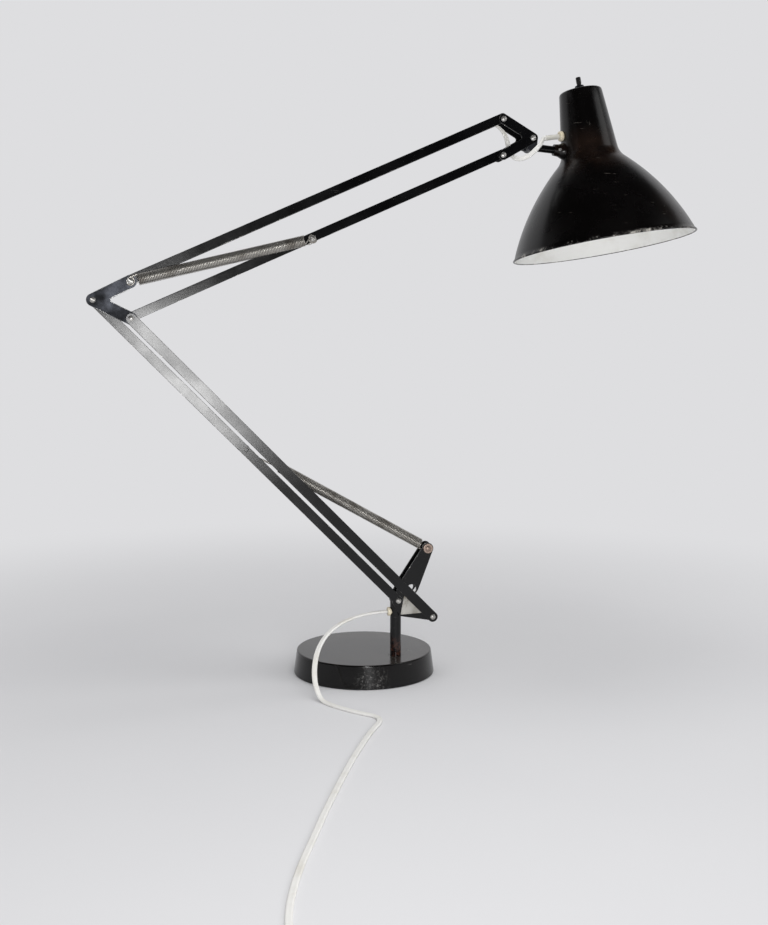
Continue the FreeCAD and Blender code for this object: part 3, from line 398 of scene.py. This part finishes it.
finishes["black_base"] = blackEnamel("satinBlackBase", tone(11, 10, 10), tone(23, 21, 20), 0.14,
                                     tone(176, 176, 172), (dustOnTop, scuffsInFront))
finishes["black_arm"] = blackEnamel("blackArmEnamel", tone(8, 8, 9), tone(16, 16, 18), 0.15,
                                    tone(110, 108, 104), (rustAtFoot,))
# the shade's marks: brown throat, rim chips, a painted highlight on the neck and knocks on the bell
finishes["black_shade"] = blackEnamel("glossBlackShade", tone(6, 5, 5), tone(11, 9, 9), 0.22,
                                      tone(120, 114, 106), (brownThroat, rimChips, neckHighlightAndKnocks))
metals = {"iron": ("castIron", tone(48, 46, 45), tone(34, 31, 30), 0.55),
          "worn_steel": ("wornSteel", tone(66, 68, 74), tone(30, 31, 34), 0.34, 0.85),
          "bright_steel": ("nickelledSteel", tone(214, 213, 210), tone(166, 164, 160), 0.24, 0.85),
          "spring_steel": ("springWire", tone(186, 183, 177), tone(136, 131, 124), 0.24, 0.85),
          "label": ("bareLabel", tone(184, 182, 176), tone(152, 149, 141), 0.4, 0.3,
                    tone(116, 106, 92)),
          "pins": ("plugPins", tone(190, 176, 140), tone(150, 136, 104), 0.28),
          "cap": ("bulbCap", tone(196, 190, 178), tone(150, 142, 128), 0.34)}
plastics = {"cream_plastic": ("creamPlastic", tone(232, 222, 198), tone(196, 180, 146), 0.35),
            "clear_sleeve": ("clearSleeve", tone(240, 238, 230), tone(224, 219, 204), 0.22),
            "white_flex": ("whiteFlex", tone(236, 235, 231), tone(212, 208, 196), 0.4),
            "white_plug": ("whitePlug", tone(234, 232, 226), tone(206, 202, 190), 0.38),
            "tie": ("blackTie", tone(30, 30, 32), tone(58, 56, 54), 0.5),
            "holder": ("darkHolder", tone(34, 28, 25), tone(58, 48, 42), 0.35),
            "black_button": ("blackButton", tone(16, 16, 17), tone(42, 40, 39), 0.3),
            "bulb": ("pearlGlass", tone(238, 238, 234), tone(224, 224, 218), 0.3),
            "felt": ("feltSole", tone(36, 52, 42), tone(58, 70, 58), 0.9)}
extras = {"clear_sleeve": {"Transmission_Weight": 0.3}, "bulb": {"Subsurface_Weight": 0.2},
          "felt": {"Sheen_Weight": 0.4}}
for slot, recipe in metals.items():
    finishes[slot] = bareMetal(*recipe)
for slot, recipe in plastics.items():
    finishes[slot] = plastic(*recipe, **extras.get(slot, {}))
finishes["felt"].bump(finishes["felt"].noise(1800, 4), 0.6, 0.0006)
whiteInside = plastic("whiteInside", tone(238, 238, 235), tone(214, 212, 204), 0.42)
paintEdge = wornEdge("rubbedPaintEdge", tone(16, 16, 17), tone(150, 148, 144), 0.66, 0.8)
browned = bareMetal("brownedSteel", tone(178, 158, 146), tone(128, 112, 102), 0.3, 0.85)
steelEdge = wornEdge("rubbedSteelEdge", tone(70, 71, 76), tone(186, 186, 184), 0.5, 0.75)
looks = {"post_screw": browned, "spindle_bush": finishes["black_base"],
         "switch_nut": finishes["worn_steel"]}   # these differ from their slot
print("finishes made:", len(finishes))


def dress(piece, *mats):
    piece.data.materials.clear()
    for f in mats:
        piece.data.materials.append(f.owner)
    return piece


def lookOf(node):
    return looks.get(node, finishes[slotOf[node]])


def settle(piece, *nodes, body=None, slot=None):  # stands for these nodes, moves with their body
    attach(piece, body or bodyOf[nodes[0]])
    if nodes:
        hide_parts(*nodes)
    return piece


# flex: a smooth line through the route, dressed with a flat twin section
flex = {"width": 5.6, "thick": 2.8, "clear": 0.05, "length": 1.752,
        "blendFrom": (18.8, -38, 75.4), "blendTo": (-53, -61, 58.5)}
tailRoute = [(18.5, -38, 75.4), (6, -38.5, 75.2), (-15, -43.5, 73.5), (-36, -52, 68.5),
             (-53, -61, 58.5), (-62.5, -69, 47), (-67.5, -77, 35), (-69.5, -84, 23),
             (-69.5, -93, 12.5)]
floorRoute = [(-66, -107), (-58, -124), (-47, -140), (-34, -156), (-19, -170), (-20, -187),
              (-33, -209), (-48, -242), (-69, -291), (-91, -348), (-110, -399), (-127, -448),
              (-141, -487), (-152, -523), (-160, -556), (-164.5, -587), (-166, -615)]
coil = {"x": -130, "y": -668, "outer": 38, "step": 6.2, "turns": 2.25, "climb": 0.5, "start": 175,
        "low": 2.5, "rise": 3.1, "tuck": 1.4, "perTurn": 16, "approach": 22}


def coilPoint(turns):                            # in on the floor, up over half a turn, out on top
    inner, climb = coil["outer"] - coil["step"] * coil["turns"], coil["climb"]
    share = min(max((turns - coil["turns"]) / climb, 0), 1)
    radius = inner - coil["tuck"] * math.sin(math.pi * share) ** 2
    if turns < coil["turns"]:
        radius = coil["outer"] - coil["step"] * turns
    elif turns > coil["turns"] + climb:
        radius = inner + coil["step"] * (turns - coil["turns"] - climb)
    a = math.radians(coil["start"] + 360 * turns)
    level = coil["low"] + coil["rise"] * share * share * (3 - 2 * share)
    return coil["x"] + radius * math.cos(a), coil["y"] + radius * math.sin(a), level


def flexRoute(name, points, tilts):
    data = bpy.data.curves.new(name, "CURVE")
    data.dimensions = "3D"
    line = data.splines.new("NURBS")
    line.points.add(len(points) - 1)
    for point, co in zip(line.points, points):
        point.co = (*mm(*co), 1)
    for point, tilt in zip(line.points, tilts):
        point.tilt = math.radians(tilt)
    line.order_u = 3
    line.use_endpoint_u = True
    line.resolution_u = 6
    data.twist_mode = "Z_UP"
    return added(name, data)


def twinSection(width, thick):                   # two cores side by side with a groove between
    r, half = thick / 2, width / 2 - thick / 2
    lobe = ring(half, 0, r, range(-100, 101, 20))
    groove = 0.84 * r
    outline = lobe + [(0, groove)] + [(-x, -y) for x, y in lobe] + [(0, -groove)]
    data = bpy.data.curves.new("twinSection", "CURVE")
    line = data.splines.new("POLY")
    line.points.add(len(outline) - 1)
    for point, (x, y) in zip(line.points, outline):
        point.co = (x / 1000, y / 1000, 0, 1)
    line.use_cyclic_u = True
    return added("twinSection", data)


def meshOf(curve):
    bpy.context.view_layer.update()
    shaped = curve.evaluated_get(bpy.context.evaluated_depsgraph_get())
    return bpy.data.meshes.new_from_object(shaped)


def flexPiece(name, points, size, tilts=()):     # the piece, and the line it lies along
    curve = flexRoute(name + "Line", points, tilts)
    path = [v.co.copy() for v in meshOf(curve).vertices]
    section = twinSection(size["width"], size["thick"])
    curve.data.bevel_mode = "OBJECT"
    curve.data.bevel_object = section
    curve.data.use_fill_caps = True
    piece = added(name, meshOf(curve))
    bpy.data.objects.remove(curve)
    bpy.data.objects.remove(section)
    openMesh(piece)
    weld()
    faceOut()
    smooth(piece, 50)
    dress(piece, finishes["white_flex"])
    return piece, path


def span(path):
    return sum((b - a).length for a, b in zip(path, path[1:]))


coilEnd = 2 * coil["turns"] + coil["climb"]
coilRoute = [coilPoint(i / coil["perTurn"]) for i in range(int(coilEnd * coil["perTurn"]) + 1)]
leadIn = Vector(coilRoute[1]) - Vector(coilRoute[0])
lastBit = 0.004                                  # of a turn, to find where the coil's end points
lastTwo = Vector(coilPoint(coilEnd)) - Vector(coilPoint(coilEnd - lastBit))
heading = Vector((lastTwo.x, lastTwo.y, 0)).normalized()
across = Vector((-heading.y, heading.x, 0))
leave = Vector(coilRoute[-1])
plugSteps = [(16, 1.0, 5.0), (34, 1.5, 5.6), (50, 1.0, 6.5), (56, 0.7, 6.5)]  # along, aside, height
leadRoute = [(*(leave + heading * a + across * s)[:2], h) for a, s, h in plugSteps]
ground = flex["thick"] / 2 + flex["clear"]
approach = Vector(coilRoute[0]) - leadIn.normalized() * coil["approach"]
wholeRoute = tailRoute + [(x, y, ground) for x, y in floorRoute] + [(*approach[:2], ground)]
wholeRoute += coilRoute + leadRoute
mainsFlex, mainsPath = flexPiece("mainsFlex", wholeRoute, flex)
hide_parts("flex_tail", "flex_coil", "plug_lead")
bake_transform(mainsFlex)
print("mains flex laid, metres:", round(span(mainsPath), 4))


# pivots of the arms in the photographed pose, in millimetres
pivots = {"A": (29.5, -38, 88.4), "S": (62.5, -38, 144.9), "D": (-286.53, -38, 412.25),
          "E": (-248.95, -38, 430.99), "T": (-133.91, -38, 257.29), "F": (-63.21, -38, 475.43),
          "J": (175.65, -38, 584.97)}
pivots = {name: Vector(at) for name, at in pivots.items()}
arms = {"lower": 134.3, "upper": 23.8, "link": 26.5}


def along(degrees, length=1.0):
    a = math.radians(degrees)
    return Vector((length * math.cos(a), 0, length * math.sin(a)))


def jointFlex(name, node, size, points, tilts=()):
    piece, path = flexPiece(name, points, size, tilts)   # a short length of flex across a joint
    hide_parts(node)
    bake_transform(piece)
    print(name, "metres:", round(span(path), 4))


# loop of flex at the head, in two lengths that meet where the knuckle carries it
headLoop = {"width": 5.0, "thick": 2.8, "bendFrom": (152.66, -42, 566.5),
            "meet": (175.11, -52.25, 570.22), "mouth": (193.55, -36.87, 586.7),
            "tilts": [0, 25, 65, 90, 90, 90, 90, 90]}   # flat under the web, then facing the front
loopIn = [(135.5, -38, 598.6), (140.06, -38, 596.97), (148.16, -38, 588.47),
          (150.86, -38.5, 576.47), (152.66, -42, 566.47), (160.16, -48, 561.47),
          (170.16, -52, 565.47), headLoop["meet"]]
loopOut = [headLoop["meet"], (180.06, -52.5, 574.97), (187.06, -47, 582.97),
           (189.59, -36.95, 586.12), (198.49, -36.75, 587.41)]
jointFlex("headFlexIn", "head_flex", headLoop, loopIn,
          headLoop["tilts"])
jointFlex("headFlexOut", "head_flex", headLoop, loopOut,
          [90] * len(loopOut))

# flex across the elbow, in two lengths that meet between its plates
elbowFlex = {"width": 3.2, "thick": 2.2, "swing": 4.5, "inset": 2.35, "rise": 3.65, "aside": 3.6}
down, out = along(arms["lower"] + 180), along(arms["lower"] + 90)
leg, over = along(arms["link"]), along(arms["link"] + 90)
bar, above = along(arms["upper"]), along(arms["upper"] + 90)
toBack = Vector((0, elbowFlex["aside"], 0))
apex, upper = pivots["D"], pivots["E"]
elbowRoute = [apex + down * 50 + out * elbowFlex["inset"] + toBack,
              apex + down * 32 + out * elbowFlex["inset"] * 0.4 + toBack * 0.8,
              apex + down * 16 - out * elbowFlex["swing"],
              apex + leg * 14 - over * elbowFlex["swing"],
              upper - leg * 12 - over * elbowFlex["swing"] * 1.1,
              upper + bar * 4.5 - above * elbowFlex["swing"] * 1.1,
              upper + bar * 18 + above * elbowFlex["rise"] * 0.7,
              upper + bar * 30 + above * elbowFlex["rise"]]
between = (elbowRoute[3] + elbowRoute[4]) / 2
jointFlex("elbowFlexIn", "elbow_flex", elbowFlex, elbowRoute[:4] + [between])
jointFlex("elbowFlexOut", "elbow_flex", elbowFlex, [between] + elbowRoute[4:])

# flex inside the two channel bars, where it lies a little loose against the web
barFlex = {"width": 4.4, "thick": 2.6, "wave": (0, 0.15, -0.1, 0.2, -0.15, 0.1, 0)}
barRuns = {"lowerBarFlex": {"node": "lower_bar_flex", "foot": pivots["A"], "angle": arms["lower"],
                            "first": 24, "last": 402.2, "lift": 2.6, "aside": 3.6},
           "upperBarFlex": {"node": "upper_bar_flex", "foot": pivots["E"], "angle": arms["upper"],
                            "first": 30.3, "last": 418, "lift": 3.85, "aside": 0}}
for name, spec in barRuns.items():
    points = []
    for i, w in enumerate(barFlex["wave"]):
        s = spec["first"] + (spec["last"] - spec["first"]) * i / (len(barFlex["wave"]) - 1)
        inBar = along(spec["angle"], s) + along(spec["angle"] + 90, spec["lift"] - abs(w))
        points.append(spec["foot"] + inBar + Vector((0, spec["aside"] + w, 0)))
    settle(flexPiece(name, points, barFlex)[0], spec["node"])
print("inner flex laid")

# springs: close-wound coils with a hook at each pin, the far one on the bar that the pin is on
lowerSpring = {"wire": 1.4, "outer": 11.5, "pitch": 1.5, "start": 8.5, "stop": 184.3,
               "keep": 0.742, "near": "S", "far": "T", "joint": "lower_tilt",
               "farBody": "lower_bar", "farEye": 3.4, "lead": (42, 0.0), "shank": (11, 0.0)}
upperSpring = {"wire": 1.5, "outer": 11.5, "pitch": 1.62, "start": 8.5, "stop": 182.5,
               "keep": 0.86, "near": "E", "far": "F", "joint": "upper_tilt",
               "farBody": "upper_bottom_bar", "farEye": 3.9, "lead": (8.5, -3.2),
               "shank": (62, -3.2)}
springSet = [("lowerSpring", "lower_spring", lowerSpring, 0),
             ("upperSpringFront", "upper_spring_front", upperSpring, -14.9),
             ("upperSpringBack", "upper_spring_back", upperSpring, 14.9)]
hook = {"wire": 2.0, "nearEye": 3.9, "turn": 235}
facets = {"coilWire": 8, "coilTurn": 14, "hookWire": 10, "hookEye": 20}


def axisFrame(p, q):                             # Z from p to q, Y towards the viewer
    z = (q - p).normalized()
    y = Vector((0, -1, 0))
    turned = Matrix((y.cross(z), y, z)).transposed().to_4x4()
    return Matrix.Translation(p / 1000) @ turned


def woundCoil(name, spec):
    r, wire = (spec["outer"] - spec["wire"]) / 2, spec["wire"] / 2
    nothing()
    bpy.ops.mesh.primitive_circle_add(vertices=facets["coilWire"], radius=wire / 1000,
                                      location=mm(r, 0, spec["start"]),
                                      rotation=(math.pi / 2, 0, 0))
    piece = fixed(newest(name))
    turns = int((spec["stop"] - spec["start"]) / spec["pitch"])
    modify(piece, "SCREW", angle=2 * math.pi, screw_offset=spec["pitch"] / 1000, iterations=turns,
           steps=facets["coilTurn"], render_steps=facets["coilTurn"], use_smooth_shade=True)
    low, high = spec["start"] / 1000, (spec["start"] + turns * spec["pitch"]) / 1000
    margin = (wire + 0.05) / 1000
    for level in (low, high):                    # close the two cut ends of the wire
        pick(piece, "VERT",
             lambda v: abs(v.co.y) < 1e-6 and v.co.x > 0 and abs(v.co.z - level) < margin)
        bpy.ops.mesh.edge_face_add()
        closeMesh()
    openMesh(piece)
    faceOut()
    return piece


def wireHook(name, eyeR, lead, leadR, shank=0, shankR=0):   # an open eye round a pin, then a lead
    nothing()
    bpy.ops.mesh.primitive_circle_add(vertices=facets["hookWire"], radius=hook["wire"] / 2000,
                                      location=mm(eyeR, 0, 0))
    piece = fixed(newest(name))
    openMesh(piece)
    bpy.ops.mesh.select_all(action="SELECT")
    bpy.ops.mesh.spin(steps=facets["hookEye"], angle=math.radians(hook["turn"]),
                      center=(0, 0, 0), axis=(0, 1, 0))
    closeMesh()
    pick(piece, "VERT", lambda v: abs(v.co.z) < 1e-7 and v.co.x > 0)
    drag(leadR - eyeR, 0, lead)
    if shank:
        drag(shankR - leadR, 0, shank)
    bpy.ops.mesh.edge_face_add()
    faceOut()
    return smooth(piece, 60)


halfTurn = Matrix.Rotation(math.pi, 4, "Z")
coilR = (lowerSpring["outer"] - lowerSpring["wire"]) / 2
for name, node, spec, aside in springSet:
    p, q = [pivots[spec[end]] + Vector((0, aside, 0)) for end in ("near", "far")]
    nearHook = wireHook(name + "NearHook", hook["nearEye"], spec["start"], coilR)
    place(nearHook, axisFrame(p, q))
    farHook = wireHook(name + "FarHook", spec["farEye"], *spec["lead"], *spec["shank"])
    place(farHook, axisFrame(q, p) @ halfTurn)
    woundPart = place(woundCoil(name, spec), axisFrame(p, q))
    carried = {woundPart: bodyOf[node], nearHook: bodyOf[node], farHook: spec["farBody"]}
    for piece, body in carried.items():
        dress(piece, finishes["spring_steel"])
        settle(piece, body=body, slot="spring_steel")
    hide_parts(node)
    run = (q - p).normalized()
    (p + run * spec["start"]) / 1000
    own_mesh(woundPart)
print("springs wound")

# shade: spun bell and neck with a rolled rim, black outside and white inside
shade = {"rim": 99.0, "bell": (36.0, 93.0), "bulge": 6.6, "neck": (30.6, 104.0), "throat": 0.9,
         "levels": (120, 140, 155), "top": (22.8, 170.0), "edge": 3.0, "wall": 1.0, "bead": 1.0,
         "beadAt": (98.9, 0.4), "hole": 3.75, "lip": 0.6, "roof": 100}


def shadeLine(inset):                            # from the rim up to the hole in the top
    rim = (shade["rim"] - inset, 0.0)
    bell = (shade["bell"][0] - inset, shade["bell"][1])
    neck = (shade["neck"][0] - inset, shade["neck"][1])
    top = (shade["top"][0] - inset, shade["top"][1] - inset)
    slope = math.hypot(rim[0] - bell[0], bell[1])
    swell = ((rim[0] + bell[0]) / 2 + shade["bulge"] * bell[1] / slope,
             bell[1] / 2 + shade["bulge"] * (rim[0] - bell[0]) / slope)
    cut = math.hypot(bell[0] - neck[0], neck[1] - bell[1])
    hollow = ((bell[0] + neck[0]) / 2 - shade["throat"] * (neck[1] - bell[1]) / cut,
              (bell[1] + neck[1]) / 2 - shade["throat"] * (bell[0] - neck[0]) / cut)
    line = arcThrough(rim, swell, bell, 36) + arcThrough(bell, hollow, neck, 8)[1:]
    r = shade["edge"] - inset
    lean = (neck[0] - top[0]) / (top[1] - neck[1])
    line += [(top[0] + lean * (top[1] - h), h) for h in shade["levels"]]
    bend = [math.radians(90 * i / 5) for i in range(6)]
    line += [(top[0] - r + r * math.cos(t) + lean * r * (1 - math.sin(t)),
              top[1] - r + r * math.sin(t)) for t in bend]
    return line + [(shade["hole"], top[1])]


outside, inside = shadeLine(0), shadeLine(shade["wall"])
bead = ring(*shade["beadAt"], shade["bead"], (195, 225, 255, 285, 315, 345, 15, 45))
shadeOutline = inside[::-1] + bead + outside[1:] + [inside[-1]]
bell = lathe("shadeBell", shadeOutline, 128)
dress(bell, finishes["black_shade"], whiteInside)
for face in bell.data.polygons:                  # white on what faces inward above the rolled rim
    c, n = face.center, face.normal
    underRoof = n.z < -0.7 and c.z > shade["roof"] / 1000
    inward = c.x * n.x + c.y * n.y < 0 or underRoof
    face.material_index = 1 if inward and c.z > shade["lip"] / 1000 else 0
smooth(place(bell, shadeAt), 40)
settle(bell, "shade_bell", "shade_neck")


def turned(name, outline, node, steps, where):   # a lathed piece that stands for one node
    piece = place(lathe(name, outline, steps), where)
    smooth(dress(piece, lookOf(node)), 40)
    settle(piece, node)


def ridges(radius, depth, low, pitch, count):    # every other point is set back
    return [(radius - (depth if i % 2 else 0), low + i * pitch) for i in range(count)]


# pieces turned on the shade's own axis
button = [(0, 184.6), (2.1, 184.6), (2.5, 184.4), (2.7, 183.9), (2.7, 178.4), (2.6, 178.3),
          (2.5, 178.2), (2.5, 163.6), (0, 163.6)]
collar = [(3.75, 170), (4.9, 170), (4.9, 171.2), (4.65, 171.4), (4.65, 171.8), (4.9, 172.0),
          (4.9, 173.2), (4.65, 173.4), (4.65, 173.8), (4.9, 174.0), (4.9, 174.7), (4.6, 175.4),
          (3.75, 175.4), (3.75, 170)]
ribs = ridges(18.0, 0.7, 126, 1.6, 12)
holder = [(13.4, 121.5), (17.4, 121.0), (18.0, 121.8), (18.0, 125.0)] + ribs
holder += [(18.0, 146), (18.0, 154), (16.9, 156.2), (14.5, 157), (3.7, 157), (3.7, 174.8),
           (2.6, 174.8), (2.6, 147), (13.4, 147), (13.4, 121.5)]
thread = ridges(13.0, 0.8, 122, 1.75, 10)
capLine = [(0, 119.6), (12.9, 119.6), (13.0, 120.5)] + thread
capLine += [(12.2, 139.5), (9.6, 143.4), (4.2, 143.9), (3.6, 144.5), (0, 144.5)]
ballAt, ballR = 64.5, 29.0
pear = ring(0, ballAt, ballR, range(-90, 37, 6))
pear += [(21.6, 84.5), (19.2, 92), (16.6, 100), (14.4, 108), (13.2, 115), (13.0, 119.5),
         (0, 119.5)]
pear[0] = (0, ballAt - ballR)
turnedPieces = [("switchButton", button, "switch_button"), ("switchCollar", collar, "switch_nut"),
                ("lampHolder", holder, "lamp_holder"), ("bulbCap", capLine, "bulb_cap"),
                ("bulbGlass", pear, "bulb_glass")]
for name, outline, node in turnedPieces:
    turned(name, outline, node, 64, shadeAt)

# grommet and sleeve, turned on an axis that leaves the neck sideways
cordExit = mm(-28.24, 0, 124)                    # in the shade's own frame
sideways = shadeAt @ Matrix.Translation(cordExit) @ Matrix.Rotation(-math.pi / 2, 4, "Y")
grommet = [(0, -2.4), (3.5, -2.4), (3.5, -0.6), (5.1, -0.4), (5.5, 0.4), (5.5, 2.6), (5.0, 3.7),
           (4.0, 4.0), (3.0, 3.9), (0, 3.9)]
sleeve = [(2.15, 19.0), (2.15, 3.6), (2.7, 3.6), (2.7, 16.6), (2.85, 18.2), (2.8, 19.0),
          (2.15, 19.0)]
turned("cordGrommet", grommet, "cord_grommet", 48, sideways)
turned("cordSleeve", sleeve, "cord_sleeve", 48, sideways)
print("shade and its fittings turned")

# pressed and turned metal: the CAD forms with broken edges, worn where hands and joints rub
edges = {"spindle": 0.3, "cheek_front": 0.35, "cheek_back": 0.35, "lower_bar": 0.35,
         "strut_front": 0.35, "strut_back": 0.35, "upper_top_bar": 0.35, "upper_bottom_bar": 0.35,
         "elbow_plate_front": 0.4, "elbow_plate_back": 0.4, "head_plate_front": 0.4,
         "head_plate_back": 0.4, "knuckle": 0.5, "shade_rod": 0.3, "shade_boss": 0.5,
         "label_plate": 0.1, "cord_bushing": 0.6, "arm_screw": 0.2, "arm_nut": 0.35,
         "post_screw": 0.3, "spring_pin": 0.25, "strut_pin": 0.25, "elbow_screw": 0.2,
         "elbow_nut": 0.35, "elbow_rivet": 0.2, "elbow_spring_screw": 0.25,
         "bar_spring_screw": 0.25, "head_rivets": 0.2, "head_screw": 0.2, "head_nut": 0.35,
         "boss_set_screw": 0.25, "spindle_bush": 0.3, "base_weight": 0.5, "base_felt": 0.3,
         "plug_body": 1.6, "plug_pins": 0.8}
growthLimit = 0.00005                            # how far a bevel may pass the CAD form, in metres
# pivot of each slotted screw, and how far out its head's top is
slotted = {"arm_screw": ("A", 10.5), "elbow_screw": ("D", 12.15), "elbow_spring_screw": ("E", 17.8),
           "bar_spring_screw": ("F", 17.8), "head_screw": ("J", 12.15)}
slotTool = {"size": (9.5, 1.4, 1.1), "turn": 0.5}   # millimetres, radians
rubbed = {"black_base": paintEdge, "black_arm": paintEdge, "black_shade": paintEdge,
          "worn_steel": steelEdge}


def cutSlot(piece, pivot, reach):                # a screwdriver slot across the front head
    nothing()
    at = pivots[pivot] - Vector((0, reach, 0))
    bpy.ops.mesh.primitive_cube_add(size=1, location=mm(*at), scale=mm(*slotTool["size"]),
                                    rotation=(0, slotTool["turn"], 0))
    cutAway(piece, fixed(newest("slotTool")))


def finished(node, edge, clamp):                 # a copy of the CAD form with its edges broken
    piece = added(node + ".finished", cadNodes[node].data.copy())
    openMesh(piece)
    weld()
    bpy.ops.mesh.dissolve_limited(angle_limit=math.radians(0.5))
    faceOut()
    if node in slotted:
        cutSlot(piece, *slotted[node])
    finish = lookOf(node)
    dress(piece, finish, rubbed.get(slotOf[node], finish))
    for face in piece.data.polygons:
        face.material_index = 0
    modify(piece, "BEVEL", width=edge / 1000, segments=2, limit_method="ANGLE",
           angle_limit=math.radians(40), use_clamp_overlap=clamp, material=1)
    return crisp(piece, 30)


def extent(piece):
    spots = [v.co for v in piece.data.vertices]
    return [f(v[i] for v in spots) for f in (min, max) for i in range(3)]


for node, edge in edges.items():
    piece = finished(node, edge, False)
    growth = max(abs(a - b) for a, b in zip(extent(piece), extent(cadNodes[node])))
    if growth > growthLimit:                     # a bevel that overshot is held back
        bpy.data.objects.remove(piece)
        piece = finished(node, edge, True)
        print(node, "edge held, mm:", round(growth * 1000, 2))
    settle(piece, node)

# pressed cover of the base, with the hole that the spindle's bush stands in
coverForm = {"top": 75.3, "round": 1.6, "roundAt": 24.4, "hole": 8.13, "holeAt": (28, -38, 24)}
coverEdge = ring(coverForm["top"] - coverForm["round"], coverForm["roundAt"], coverForm["round"],
                 range(0, 91, 15))
coverLine = [(0, 23), (72.9, 23), (75.9, 0.7), (76.4, 0.6), (78.1, 0.6), (78.4, 0.9), (78.35, 1.6)]
coverLine += coverEdge + [(0, 26), (0, 23)]
cover = lathe("baseCover", coverLine, 160)
nothing()
bpy.ops.mesh.primitive_cylinder_add(vertices=48, radius=coverForm["hole"] / 1000, depth=0.02,
                                    location=mm(*coverForm["holeAt"]))
cutAway(cover, newest("bushPunch"))
crisp(dress(cover, finishes["black_base"]), 35)
settle(cover, "base_shell")
print("metalwork finished:", len(edges))

# tie round the put-away coil
tie = {"wide": 5.0, "thick": 0.8, "inner": 17.6, "outer": 41.6, "low": 0.4, "high": 7.6,
       "corner": 2.2, "angle": 120}
nothing()
bpy.ops.mesh.primitive_cube_add(size=1)
band = newest("coilTie")
middle = Vector(((tie["inner"] + tie["outer"]) / 2, 0, (tie["low"] + tie["high"]) / 2))
band.scale = mm(tie["outer"] - tie["inner"], tie["wide"], tie["high"] - tie["low"])
band.location = middle / 1000
fixed(band)
pick(band, "FACE", lambda f: abs(f.normal.y) > 0.5)
bpy.ops.mesh.delete(type="FACE")
closeMesh()
modify(band, "BEVEL", width=tie["corner"] / 1000, segments=5, limit_method="ANGLE",
       angle_limit=math.radians(40))
modify(band, "SOLIDIFY", thickness=tie["thick"] / 1000, offset=0)
aroundCoil = (Matrix.Translation(mm(coil["x"], coil["y"], 0))
              @ Matrix.Rotation(math.radians(tie["angle"]), 4, "Z"))
smooth(place(dress(band, finishes["tie"]), aroundCoil), 40)
settle(band, "coil_tie")
print("tie and plug set")

# stage: a pale floor that fades into a pale surround, soft lamps, a dark card behind the viewer
stage = {"floor": tone(230, 230, 231), "clouds": tone(225, 225, 227), "size": 40,
         "fade": (0.25, 1.1), "surround": tone(222, 222, 224), "fill": 0.5}
nothing()
bpy.ops.mesh.primitive_plane_add(size=stage["size"])
floor = newest("paleFloor")
floorFinish = paint("paleFloor", Specular_IOR_Level=0.15, Roughness=0.7)
clouds = floorFinish.noise(3, 3)
floorFinish.feed(Base_Color=floorFinish.mix(stage["floor"], stage["clouds"], clouds))
away = floorFinish.add("ShaderNodeVectorMath", {"operation": "LENGTH"}, {0: floorFinish.here},
                       "Value")
glowing = floorFinish.add("ShaderNodeEmission", {}, {"Color": stage["surround"]})
fade = floorFinish.step(away, *stage["fade"]) * floorFinish.seen()
lit = Wire(floorFinish, floorFinish.shader.outputs[0])
blended = floorFinish.add("ShaderNodeMixShader", {}, {0: fade, 1: lit, 2: glowing})
floorFinish.link(floorFinish.tree.nodes["Material Output"].inputs["Surface"], blended)
dress(floor, floorFinish)
cardForm = {"at": (100, -2300, 900), "scale": (10, 3.2, 1), "over": (0, 4200, 1200),
            "past": (0, 3600, 0)}
nothing()
bpy.ops.mesh.primitive_plane_add(size=1, location=mm(*cardForm["at"]), rotation=(math.pi / 2, 0, 0))
card = newest("darkCard")
card.scale = cardForm["scale"]
fixed(card)
pick(card, "VERT", lambda v: v.co.z > 1)
drag(*cardForm["over"])                          # and over the lamp
closeMesh()
for side in (-1, 1):                             # and past its two sides
    pick(card, "VERT", lambda v: v.co.x * side > 4 and v.co.y < -2)
    drag(*cardForm["past"])
    closeMesh()
cardFinish = paint("darkCard", Specular_IOR_Level=0.0, Roughness=1.0)
mottle = cardFinish.noise(2, 2)
cardFinish.feed(Base_Color=cardFinish.mix(tone(12, 12, 12), tone(22, 22, 22), mottle))
dress(card, cardFinish)
card.visible_camera = card.visible_diffuse = card.visible_shadow = False
world = bpy.context.scene.world or bpy.data.worlds.new("surround")
bpy.context.scene.world = world
sky = Finish(world, "Background", Color=stage["surround"])
sky.feed(Strength=sky.step(sky.seen(), 0, 1, stage["fill"], 1.0))


def lamp(name, at, aim, size, power):
    light = added(name, bpy.data.lights.new(name, "AREA"))
    light.location = at
    light.rotation_euler = (Vector(aim) - Vector(at)).to_track_quat("-Z", "Y").to_euler()
    light.data.size = size
    light.data.energy = power
    return light


keyShape = {"high": 0.17, "roll": -45.7}         # a strip that is seen in the straps
overhead = lamp("overheadLamp", at=(0.2, -0.4, 2.3), aim=(0, 0, 0), size=1.8, power=24)
overhead.visible_glossy = False
key = lamp("keyLamp", at=(-0.143, -1.4, 0.26), aim=(-0.143, 0, 0.28), size=0.34, power=7)
key.data.shape, key.data.size_y = "RECTANGLE", keyShape["high"]
key.rotation_euler.rotate_axis("Z", math.radians(keyShape["roll"]))
lamp("sideLamp", at=(1.5, -0.7, 1.1), aim=(0.1, 0, 0.4), size=0.9, power=4)
print("stage lit")
